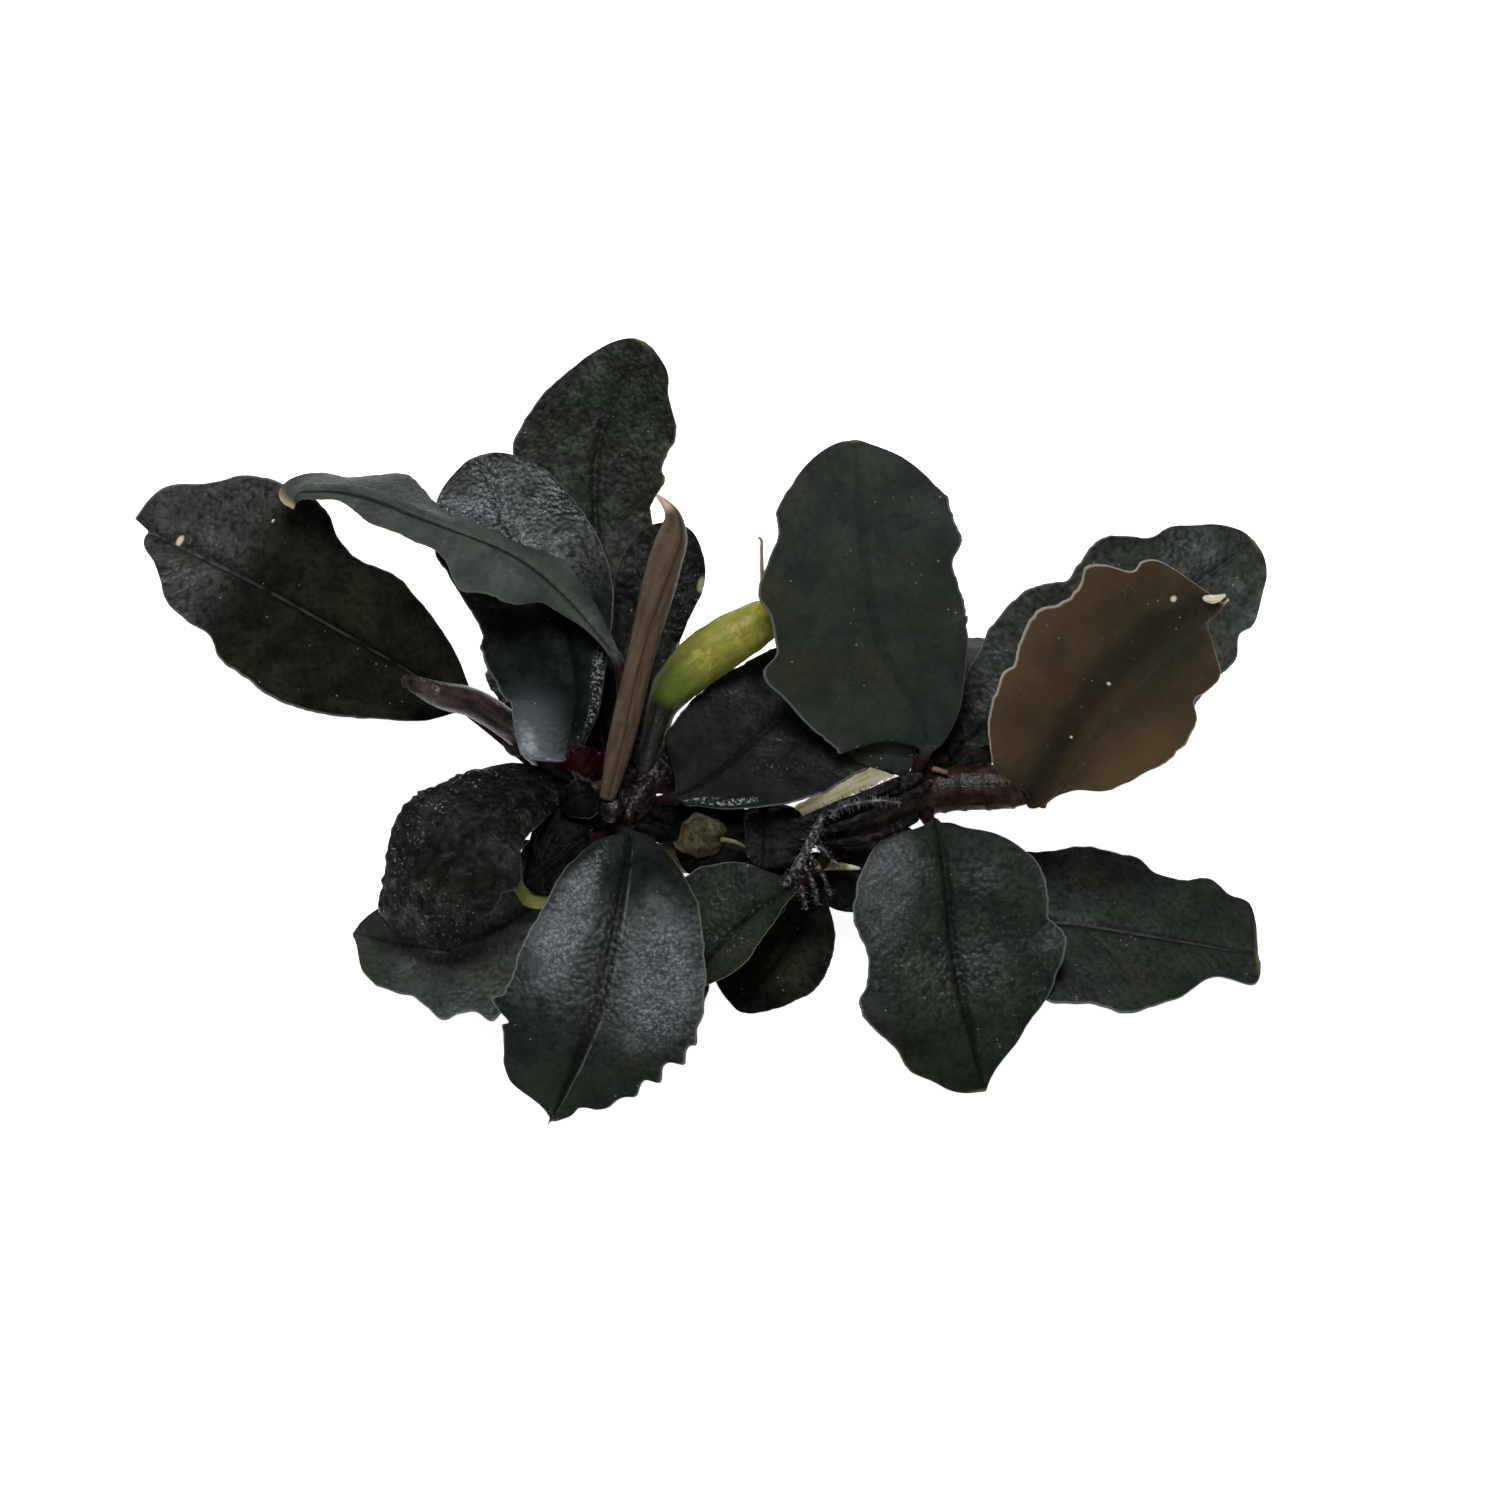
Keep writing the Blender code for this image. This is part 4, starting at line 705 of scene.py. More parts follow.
def solid(name, skins):
    """One mesh object from several closed skins."""
    corners, faces, uv, slots = zip(*skins)
    firsts = np.cumsum([0] + [len(part) for part in corners]).tolist()
    faces = [[first + corner for corner in face] for first, part in zip(firsts, faces) for face in part]
    mesh = bpy.data.meshes.new(name)
    mesh.from_pydata(((np.vstack(corners) - PLANT_MIDDLE) * MM).tolist(), [], faces)
    layer = mesh.uv_layers.new(name="UVMap")
    index = np.empty(len(mesh.loops), int)
    mesh.loops.foreach_get("vertex_index", index)
    layer.data.foreach_set("uv", np.vstack(uv)[index].ravel())
    mesh.polygons.foreach_set("material_index", np.concatenate(slots))
    mesh.polygons.foreach_set("use_smooth", np.ones(len(faces), bool))
    obj = bpy.data.objects.new(name, mesh)
    bpy.context.scene.collection.objects.link(obj)
    return obj


def carried_frames(line):
    """Directions across a line, turned as little as possible along it."""
    forward = unit(np.gradient(line, axis=0))
    across = np.empty_like(line)
    first = np.cross(forward[0], (0, 0, 1))
    across[0] = unit(first if np.linalg.norm(first) > 0.1 else np.cross(forward[0], (1, 0, 0)))
    for i in range(1, len(line)):
        across[i] = unit(across[i - 1] - forward[i] * (across[i - 1] @ forward[i]))
    return across, np.cross(across, forward)


def tube(points, radii, rings, sides, shape=None):
    """Skin of a round stem; shape scales its radius by mm along and angle round."""
    knots = chord_knots(points)
    along = graded(rings, 0.2)
    middle = smooth(knots, points, along)
    radius = smooth(knots, np.broadcast_to(radii, len(points)), along)
    length = lengths(middle)
    turn = 2 * math.pi * (np.arange(sides) + 0.5) / sides
    close = np.minimum(1, np.minimum(length, length[-1] - length) / radius.clip(0.01))
    reach = (radius * np.sqrt(np.clip(1 - (1 - close) ** 2, 0.02, 1)))[:, None]
    if shape:
        reach = reach * shape(length[:, None], turn)
    across, up = carried_frames(middle)
    rings = set_out(middle, (reach * np.cos(turn), across), (reach * np.sin(turn), up))
    return loft(rings, length[:, None], turn / (2 * math.pi))


def roll(points, radii, seam, turns, slant, rings, sides):
    """Skin of a leaf blade rolled into a tube, with its free edge showing."""
    knots = chord_knots(points)
    along = np.linspace(0, 1, rings)
    middle = smooth(knots, points, along)
    radius = smooth(knots, radii, along)[:, None]
    seam = np.radians(smooth(knots, seam, along))[:, None]
    length = lengths(middle)[:, None]
    forward = unit(np.gradient(middle, axis=0))
    side = unit(np.cross(forward, TOWARDS_VIEW))
    part = np.linspace(0, 1, sides)
    outer = radius * (1 - ROLL_TIGHTENING * part)
    inner = outer - np.minimum(ROLL_THICKNESS, 0.2 * radius)
    part = np.r_[part, part[::-1]]
    turn = seam + 2 * math.pi * turns * part
    reach = np.hstack((outer, inner[:, ::-1])) * (1 + 0.02 * layered_noise(turn * 4, length * 0.3, 77))
    cut = -slant * ease((along[:, None] - 0.88) / 0.12) * radius * np.sin(turn)
    rings = set_out(middle, (reach * np.cos(turn), side), (reach * np.sin(turn), np.cross(side, forward)),
                    (cut, forward))
    skin = loft(rings, length, part, np.repeat((0, 1), sides))
    skin[3][-2 * sides:] = 1
    return skin


def hairs(points, radii, count, length, thickness, seed):
    """Skins of fine hairs standing off a stem."""
    knots = chord_knots(points)
    radii = np.broadcast_to(radii, len(points))
    random = np.random.default_rng(seed)
    skins = []
    for _ in range(count):
        at = random.uniform(0.02, 0.98)
        middle, beyond = smooth(knots, points, (at, min(at + 0.01, 1)))
        forward = unit(beyond - middle)
        out = random.normal(size=3)
        out = unit(out - forward * (out @ forward))
        start = middle + out * 0.6 * smooth(knots, radii, [at])[0]
        reach = length * random.uniform(0.4, 1.3)
        bend = unit(out + 0.45 * random.normal(size=3))
        end = start + reach * (0.7 * out + 0.4 * bend - np.array((0, 0, HAIR_DROOP)))
        line = np.array((start, start + out * reach * 0.5, end))
        skins.append(tube(line, thickness * np.array((1, 0.8, 0.3)), 5, 4))
    return skins


def hairy(paths, radii, rings, sides, hair, seeds):
    """Skins of roots with the hairs on them."""
    skins = []
    for k, path in enumerate(paths):
        skins.append(tube(path, radii, rings, sides, wiry(seeds[0] + k)))
        skins += hairs(path, radii, *hair, seeds[1] + k)
    return skins


def scarred(seed):
    """Shape of a shoot ringed with leaf scars and ridged lengthwise."""
    def shape(length, turn):
        ring = np.exp(-(((length / SCAR_SPACING) % 1 - 0.5) / 0.09) ** 2)
        ridges = layered_noise(turn * 3, length * 0.12, seed)
        lumps = layered_noise(length * 0.8 + 5, np.cos(turn) * 1.5 + np.sin(turn) + 9, seed + 4)
        return 1 + SCAR_HEIGHT * ring + 0.05 * ridges + 0.07 * lumps
    return shape


def swollen(seed):
    """Shape of the spathe, with small soft lumps."""
    def shape(length, turn):
        round_about = np.cos(turn) * 1.6 + 4
        broad = layered_noise(length * 0.45, round_about + np.sin(turn), seed)
        return 1 + 0.07 * broad + 0.02 * layered_noise(length * 2, round_about * 3, seed + 4)
    return shape


def wiry(seed):
    """Shape of a thin root, a little lumpy."""
    def shape(length, turn):
        return 1 + 0.22 * layered_noise(length * 1.1, np.cos(turn) + 5, seed)
    return shape


class Value:
    """Output of a node; arithmetic on it adds Math nodes."""

    def __init__(self, socket):
        self.socket = socket
        self.tree = socket.id_data

    def math(self, operation, *others):
        inputs = dict(enumerate((self, *others)))
        return Value(add(self.tree, "ShaderNodeMath", inputs, operation=operation).outputs[0])

    def __abs__(self):
        return self.math("ABSOLUTE")

    def __add__(self, other):
        return self.math("ADD", other)

    def __sub__(self, other):
        return self.math("SUBTRACT", other)

    def __rsub__(self, other):
        return self.math("MULTIPLY_ADD", -1, other)

    def __mul__(self, other):
        return self.math("MULTIPLY", other)


def feed(socket, value):
    """Links or sets an input; a colour is three parts in thousandths."""
    if isinstance(value, Value):
        value.tree.links.new(value.socket, socket)
    elif isinstance(value, tuple):
        socket.default_value = (*(part / 1000 for part in value), 1)
    else:
        socket.default_value = value


def add(tree, kind, inputs, **settings):
    """New node with its settings and inputs."""
    made = tree.nodes.new(kind)
    for key, value in settings.items():
        setattr(made, key, value)
    for key, value in inputs.items():
        feed(made.inputs[key], value)
    return made


def fade(value, low, high):
    """0 below low, 1 above high, smooth between."""
    inputs = {"Value": value, "From Min": low, "From Max": high}
    made = add(value.tree, "ShaderNodeMapRange", inputs, interpolation_type="SMOOTHSTEP")
    return Value(made.outputs["Result"])


def mix(factor, a, b):
    """Colour between a and b."""
    return Value(add(factor.tree, "ShaderNodeMix", {0: factor, 6: a, 7: b}, data_type="RGBA").outputs[2])


def noise(where, scale, detail=3, rough=0.55):
    """Soft noise from 0 to 1; scale is features per metre."""
    inputs = {"Vector": where, "Scale": scale, "Detail": detail, "Roughness": rough}
    return Value(add(where.tree, "ShaderNodeTexNoise", inputs).outputs["Fac"])


def cells(where, scale, feature="F1"):
    """Distance from the nearest of scattered points; scale is points per metre."""
    inputs = {"Vector": where, "Scale": scale}
    return Value(add(where.tree, "ShaderNodeTexVoronoi", inputs, feature=feature).outputs["Distance"])


def new_material(name):
    """Material with only its shader and output, and the shader's inputs."""
    material = bpy.data.materials.new(name)
    material.use_nodes = True
    return material, material.node_tree.nodes["Principled BSDF"].inputs


def places(material):
    """Place along and across a piece, and place in the plant."""
    place = add(material.node_tree, "ShaderNodeTexCoord", {})
    apart = add(material.node_tree, "ShaderNodeSeparateXYZ", {0: Value(place.outputs["UV"])})
    return Value(apart.outputs[0]), Value(apart.outputs[1]), Value(place.outputs["Object"])


def bumpy(shader, height, strength, depth):
    """Raises the skin by the height, depth in metres."""
    inputs = {"Strength": strength, "Distance": depth, "Height": height}
    feed(shader["Normal"], Value(add(height.tree, "ShaderNodeBump", inputs).outputs["Normal"]))


def wet_part(look, along, skin):
    """How wet and shiny the skin is, from 0 to 1, in the look's zones along the blade."""
    zones = [fade(along, start - 0.08, start + 0.1) * (1 - fade(along, stop - 0.12, stop + 0.1))
             for start, stop in look["wet_zones"]]
    zone = zones[0]
    for other in zones[1:]:
        zone = zone.math("MAXIMUM", other)
    patchy = fade(noise(skin, look["wet_scale"]), *look["wet_cut"])
    return zone * (patchy * look["wet_patchy"] + (1 - look["wet_patchy"]))


def oval(along, across, place, core=0.45):
    """1 in the core of an oval on the blade, 0 outside; place is its middle and its reach both ways."""
    at_along, at_across, long, wide = place
    ahead = (along - at_along) * (1 / long)
    aside = (across - at_across) * (1 / wide)
    return 1 - fade((ahead * ahead + aside * aside).math("SQRT"), core, 1)


def leaf_material(name, look):
    """Leathery leaf skin from its place along and across the blade, with painted shade in the
    creases and midrib, and painted glints and sheen.
    """
    look = BLACK_GREEN | look
    material, shader = new_material(name)
    along, across, skin = places(material)
    wet = wet_part(look, along, skin)
    pebble = cells(skin, look["pebbles"], "SMOOTH_F1")
    crease = fade(pebble, 0.35, 0.75)
    out = across * 2 - 1

    colour = mix(fade(noise(skin, MOTTLES, 4), 0.36, 0.66), look["dark"], look["light"])
    patches = fade(noise(skin, look["patch_scale"]), 0.5, 0.68)
    colour = mix(patches * look["patch_share"], colour, look["patch"])
    # Pale bloom, partly the leaf's own pale bloom and partly painted sheen: it is stronger where the skin is
    # shiny
    bloom_and_sheen = fade(noise(skin, BLOOM, 5, 0.7), 0.5, 0.72) * (wet * 0.7 + 0.3)
    colour = mix(bloom_and_sheen * look["bloom_share"], colour, look["bloom_and_sheen"])
    # Painted shade: the creases between the pebbles are darkened towards the dark colour
    colour = mix(crease * look["crease_shade_share"], colour, look["dark"])
    for place, tint, share in look["tints"]:
        colour = mix(oval(along, across, place, 0) * share, colour, tint)
    # Painted shade: a dark band along the midrib stands for the shade in its groove; on the bronze underside
    # it is also the midrib's own darker tone
    rib_shade = 1 - fade(abs(out - look["rib_shift"]), 0.03, look["rib_width"])
    colour = mix(rib_shade * look["rib_share"], colour, look["rib_shade"])
    ridge = 1 - fade(abs(out + look["ridge_shift"]), 0.008, 0.024)
    broken = fade(noise(skin, RIDGE_BREAKS, 2), 0.35, 0.6)
    colour = mix(ridge * broken * look["ridge_share"], colour, look["rim"])
    colour = mix(fade(abs(out), 0.968, 0.99) * look["rim_share"], colour, look["rim"])
    # Painted glints: pale dots scattered in patches stand for tiny highlights on the pebbled skin
    glint_dots = (1 - fade(cells(skin, DOTS), 0.05, 0.13)) * fade(noise(skin, DOT_PATCHES, 2), 0.52, 0.62)
    colour = mix(glint_dots * look["glint_dots"], colour, GLINT_DOT)
    colour = mix(1 - fade(along, -0.03, 0.015), colour, look["stalk"])
    colour = mix(fade(along, look["tip_from"], 1) * look["tip_share"], colour, look["tip"])
    for place, tint in look["spots"]:
        colour = mix(oval(along, across, place), colour, tint)
    # Gleams: painted highlights, grainy patches mixed towards a pale sheen colour, which also make the skin
    # shinier
    for place, (grains, low, high), share in look["gleams"]:
        gleam_and_wet = oval(along, across, place) * fade(noise(skin, grains, 3, 0.6), low, high)
        colour = mix(gleam_and_wet * share, colour, PAINTED_SHEEN)
        wet = wet.math("MAXIMUM", gleam_and_wet)
    feed(shader["Base Color"], colour)

    dull, shiny = look["rough"]
    feed(shader["Roughness"], noise(skin, DULLNESS, 4, 0.7) * 0.24 + (wet * (shiny - dull) + (dull - 0.12)))
    dull, shiny = look["specular"]
    feed(shader["Specular IOR Level"], (wet * (shiny - dull) + dull) * (crease * -0.7 + 1))
    bumpy(shader, noise(skin, LEAF_GRAIN, 4, 0.65) * 0.5 + (1 - pebble), look["bump"], LEAF_GRAIN_DEPTH)
    return material


def stem_material(name, look):
    """Skin of stems, rolled leaves and roots, streaked lengthwise, with painted shade on the
    rolled leaf's inner turn and a painted glow where the look has one.
    """
    look = STEM_LOOK | look
    material, shader = new_material(name)
    along, across, skin = places(material)
    grain = {0: along * 0.25, 1: across * 14}
    stretched = Value(add(skin.tree, "ShaderNodeCombineXYZ", grain).outputs[0])
    streaks = fade(noise(stretched, 1, 4), 0.35, 0.65)
    colour = mix(streaks, look["dark"], look["light"])
    mottle = fade(noise(skin, look["mottles"], 4), 0.45, 0.7)
    colour = mix(mottle * look["mottle_share"], colour, look["mottle"])
    for low, high, tint in look["bands"]:
        colour = mix(fade(along, low, high), colour, mix(streaks * 0.35, tint, look["mottle"]))
    if "blotch" in look:
        spots = fade(noise(skin, BLOTCHES, 5, 0.7), 0.5, 0.64) * fade(along, *look["bands"][1][:2])
        colour = mix(spots * 0.6, colour, look["blotch"])
    # Painted shade on the rolled leaf: the inner turn is tinted darker olive-brown, partly its own colour and
    # partly painted shade, and a dark line of painted shade runs along the free edge
    if "shaded_inner_turn" in look:
        inner_from, tint = look["shaded_inner_turn"]
        colour = mix(fade(across, inner_from - 0.01, inner_from + 0.01) * 0.8, colour, tint)
        colour = mix((1 - fade(across, 0.004, 0.03)) * 0.6, colour, look["dark"])
    feed(shader["Base Color"], colour)
    # Painted light: the piece glows in its own colour, standing in for light shining through it from behind
    if "backlit_glow" in look:
        feed(shader["Emission Color"], colour)
        feed(shader["Emission Strength"], look["backlit_glow"])
    feed(shader["Roughness"], noise(skin, DULLNESS) * 0.3 + (look["rough"] - 0.15))
    feed(shader["Specular IOR Level"], look["specular"])
    bumpy(shader, noise(stretched, 2.5, 4) * 0.8 + noise(skin, STEM_GRAIN), 0.4, STEM_GRAIN_DEPTH)
    return material


# Colours are in thousandths, and a share is how strongly a colour covers those below it.
# A place on the blade is (along, across, reach along, reach across). tints are (place,
# colour, share), spots (place, colour) and gleams (place, grain, share), where the grain
# is (features per metre, low, high). Gleams are painted highlights: grainy patches of pale
# sheen colour that also make the skin shinier. rough and specular are (dry, wet).
WHITE = (1000, 1000, 1000)
# Pale colour of the painted glint dots
GLINT_DOT = (300, 320, 270)
# Pale colour of the painted highlights in the gleams
PAINTED_SHEEN = (260, 290, 310)
CREAM = (500, 440, 300)
PALE_GREEN = (200, 230, 110)
SPARKLE = (3600, 0.46, 0.68)
SPARSE_SPARKLE = (2900, 0.6, 0.74)
SHEEN = (500, 0.15, 0.65)
LEAF_GRAIN_DEPTH = 0.00025
STEM_GRAIN_DEPTH = 0.0003

# Sizes of the skins' noise, in features per metre
MOTTLES, BLOOM, DULLNESS, RIDGE_BREAKS = 300, 420, 900, 500
DOTS, DOT_PATCHES, BLOTCHES = 1100, 420, 760
LEAF_GRAIN, STEM_GRAIN = 4200, 2400

BLACK_GREEN = dict(
    dark=(3, 3.6, 2), light=(8.5, 9.8, 6.2), patch=(15, 17, 7), bloom_and_sheen=(45, 50, 42), rib_shade=(2.5, 2.8, 2),
    rim=(100, 110, 95), stalk=(12, 4, 4), tip=(120, 120, 60), pebbles=2100, patch_scale=120,
    patch_share=0.6, bloom_share=0.4, crease_shade_share=0.5, rib_share=0.8, rib_width=0.075, rib_shift=0,
    ridge_share=0, ridge_shift=0, rim_share=0.8, glint_dots=0.5, tip_from=0.985, tip_share=0.8,
    rough=(0.62, 0.36), specular=(0.05, 0.2), bump=0.4, wet_zones=((-0.2, 1.3),), wet_cut=(0.42, 0.62),
    wet_scale=170, wet_patchy=0.6, tints=(), spots=(), gleams=())
GREEN_GREY = dict(dark=(8, 10, 6.8), light=(17, 21, 15), patch=(20, 23, 11))
FRESH_GREEN = GREEN_GREY | dict(
    dark=(5.5, 8, 5.2), light=(12.5, 17.8, 12), rough=(0.6, 0.32), wet_zones=((0.1, 0.7),), bump=0.6)
# Near-black bracts and sheaths deep in the crown: a dark own colour, deepened as painted shade
DEEP_SHADE = dict(
    dark=(0.7, 0.6, 0.5), light=(1.8, 1.5, 1.2), patch=(2, 2, 1), rough=(0.6, 0.5),
    specular=(0.02, 0.06), bump=0.2, bloom_share=0, rim_share=0, glint_dots=0, tip_share=0)
PITTED = dict(
    dark=(1.8, 2.1, 1.2), light=(5.2, 6, 3.8), patch=(10, 10, 5), rough=(0.5, 0.25), wet_scale=500,
    wet_cut=(0.45, 0.65), specular=(0.02, 0.16), bump=0.9, pebbles=1500, rim_share=0.3, bloom_share=0.2,
    gleams=(((0.45, 0.88, 0.5, 0.22), SPARSE_SPARKLE, 0.9), ((0.85, 0.4, 0.25, 0.5), SPARSE_SPARKLE, 0.5)))
BRONZE_TINTS = (
    ((0.8, 0.48, 0.5, 0.5), (18, 18.5, 11), 0.9), ((0.05, 0.62, 0.45, 0.28), (13, 10.5, 5.5), 0.8),
    ((0.35, 0.1, 0.35, 0.3), (78, 58, 25), 0.7), ((0.45, 1, 0.45, 0.18), (75, 45, 20), 0.5))
LEAF_LOOKS = {
    "olive": dict(
        light=(8, 8.8, 5.2), rough=(0.6, 0.4), wet_zones=((0.72, 1.3),), specular=(0.03, 0.45),
        bloom_share=0.4, ridge_share=0.2, tip_share=0, wet_scale=500, wet_patchy=0.4,
        spots=(((0.905, 0.537, 0.012, 0.05), CREAM), ((0.703, 0.813, 0.004, 0.012), CREAM))),
    "top": dict(
        dark=(4, 5.6, 2.6), light=(10.5, 14.2, 7.5), rough=(0.55, 0.36), specular=(0.04, 0.12),
        wet_scale=600, wet_patchy=0.5, bloom_share=0.35, bump=0.4),
    "wet": dict(
        dark=(4, 5.6, 4.8), light=(11, 15, 12.5), wet_zones=((0.26, 0.68),), rough=(0.6, 0.3),
        wet_patchy=0.3, specular=(0.05, 0.45), bump=0.8, bloom_share=0.25, ridge_share=0.5,
        ridge_shift=0.09, rib_width=0.1,
        gleams=(((0.45, 0.24, 0.32, 0.28), SHEEN, 0.09), ((0.38, 0.82, 0.3, 0.22), SHEEN, 0.15),
                ((0.5, 0.22, 0.24, 0.22), SPARKLE, 0.44), ((0.34, 0.8, 0.32, 0.18), SPARKLE, 0.44)),
        tints=(((0.95, 0.5, 0.28, 0.8), (20, 24, 15), 0.6),)),
    "glossy": dict(
        dark=(3, 4.2, 3.8), light=(9, 12, 11), rough=(0.5, 0.22), wet_zones=((-0.2, 0.02), (0.5, 1.3)),
        wet_patchy=0.5, wet_scale=300, specular=(0.02, 0.6), bump=0.7, bloom_share=0.25,
        # The pale bluish oval at the base of the blade is a painted highlight on the curled lobe
        tints=(((0.02, 0.14, 0.26, 0.42), (75, 82, 90), 0.9),),
        gleams=(((0, 0.1, 0.1, 0.14), SHEEN, 0.3), ((0.2, 0.86, 0.14, 0.16), SPARKLE, 0.6),
                ((0.75, 0.4, 0.22, 0.4), SPARKLE, 0.35))),
    "pitted": PITTED,
    "flecked": dict(
        PITTED, spots=(((0.77, 0.97, 0.045, 0.07), PALE_GREEN), ((0.47, 0.99, 0.03, 0.05), PALE_GREEN))),
    "grey": dict(
        dark=(30, 36, 31), light=(48, 56, 48), patch=(40, 46, 26), bloom_and_sheen=(95, 105, 98), rough=(0.55, 0.42),
        specular=(0.03, 0.08), bump=0.4, crease_shade_share=0.2, rim=(80, 90, 40), tip=(500, 360, 200),
        tip_share=1, tip_from=0.972, patch_scale=300, glint_dots=0.3),
    "matte": dict(
        GREEN_GREY, dark=(13.5, 16, 12.5), light=(21, 25, 20), rough=(0.7, 0.6), specular=(0.04, 0.08),
        bump=0.3, crease_shade_share=0.2, rib_share=0.25, bloom_share=0.15),
    "mottled": dict(
        GREEN_GREY, dark=(7.5, 10, 6.6), light=(18, 23, 16), patch=(30, 32, 14), bloom_and_sheen=(85, 95, 80),
        bloom_share=0.6, patch_scale=400, rough=(0.6, 0.42), specular=(0.06, 0.2), bump=0.5,
        # The near-black oval at the base of the blade is painted shade
        ridge_share=0.15, tints=(((-0.02, 0.4, 0.26, 0.9), (1, 1.2, 0.8), 0.95),)),
    "blue_black": dict(
        dark=(5.2, 6, 5.4), light=(10, 11.5, 10.2), rough=(0.6, 0.35), specular=(0.03, 0.12), bump=0.2,
        crease_shade_share=0.3, glint_dots=0.2, wet_zones=((0.3, 1.3),), wet_scale=300,
        gleams=(((0.06, 0.8, 0.06, 0.05), SPARKLE, 1), ((0.12, 0.9, 0.08, 0.06), SPARKLE, 1),
                ((0.45, 0.7, 0.3, 0.3), SPARSE_SPARKLE, 0.22))),
    "green": dict(
        FRESH_GREEN,
        gleams=(((0.22, 0.84, 0.26, 0.22), SHEEN, 0.11), ((0.26, 0.84, 0.3, 0.22), SPARKLE, 0.16),
                ((0.6, 0.3, 0.4, 0.4), SPARSE_SPARKLE, 0.2))),
    "soft_green": dict(
        FRESH_GREEN, light=(11, 15.8, 10), specular=(0.03, 0.1),
        gleams=(((0.5, 0.5, 0.5, 0.5), SPARSE_SPARKLE, 0.25),)),
    "low": dict(
        GREEN_GREY, dark=(12, 14, 10), light=(27, 31, 24), rough=(0.6, 0.4), specular=(0.08, 0.3),
        wet_zones=((-0.2, 0.8),), bump=0.5),
    "dull": dict(
        GREEN_GREY, rough=(0.65, 0.5), specular=(0.12, 0.2), bump=0.25, bloom_share=0.3, ridge_share=0.3),
    # Near-black leaves and bracts: a dark own colour, deepened as painted shade where they lie in deep shadow
    "black_in_shade": dict(
        dark=(1.6, 1.7, 1.1), light=(4.4, 4.8, 3.2), rough=(0.6, 0.5), specular=(0.02, 0.06), bump=0.2,
        bloom_share=0.1, tip_share=0, rim_share=0.25),
    "thin_rim": DEEP_SHADE | dict(rim=(160, 165, 130), rim_share=0.6),
    "olive_leaf": dict(
        dark=(2.4, 2.6, 1), light=(7, 7, 3), patch=(8, 8, 3), rim=(420, 420, 200), rough=(0.5, 0.4),
        specular=(0.03, 0.08), bump=0.2, tip=(160, 160, 45), tip_from=0.62, tip_share=0.9),
    "deep_shade": DEEP_SHADE,
    "green_scale": dict(
        dark=(4.5, 6, 2.4), light=(13, 16.5, 7), patch=(16, 17, 7), rough=(0.6, 0.4), specular=(0.03, 0.2),
        bump=0.3, bloom_share=0.2, tip_share=0),
    "red_bract": dict(
        dark=(6, 0.6, 0.6), light=(16, 1.3, 1.2), patch=(14, 2, 1.5), rib_shade=(8, 1, 1), rim=(20, 5, 4),
        rough=(0.4, 0.3), specular=(0.02, 0.08), bump=0.2, bloom_share=0, glint_dots=0, tip=(15, 6, 4)),
    "maroon_sheath": dict(
        dark=(3, 1, 0.9), light=(8, 2.2, 1.8), patch=(7, 3.5, 2.5), rib_shade=(3, 1, 1), rim=(12, 5, 4),
        rough=(0.4, 0.28), specular=(0.04, 0.25), wet_scale=600, bump=0.4, bloom_share=0, glint_dots=0,
        tip=(10, 5, 4)),
    "underside": dict(
        dark=(16, 20, 16), light=(30, 36, 29), patch=(26, 30, 16), rough=(0.6, 0.5), bump=0.15,
        bloom_share=0.2),
    "bronze": dict(
        dark=(35, 23.5, 11.5), light=(48, 32, 15.5), patch=(52, 32, 14), bloom_and_sheen=(70, 55, 35),
        rib_shade=(12, 9, 6.5), rim=(300, 250, 200), tip=(550, 450, 340), tip_from=0.965, rough=(0.6, 0.5),
        bump=0.15, crease_shade_share=0.1, bloom_share=0.2, rib_share=0.75, rib_width=0.24, rib_shift=0.22,
        specular=(0.03, 0.06), patch_share=0.2, patch_scale=200, tints=BRONZE_TINTS,
        spots=(((0.879, 0.715, 0.014, 0.022), CREAM), ((0.525, 0.573, 0.007, 0.012), CREAM),
               ((0.312, 0.573, 0.006, 0.01), CREAM))),
}
STEM_LOOK = dict(mottles=420, mottle_share=0.7, bands=(), rough=0.4, specular=0.12)
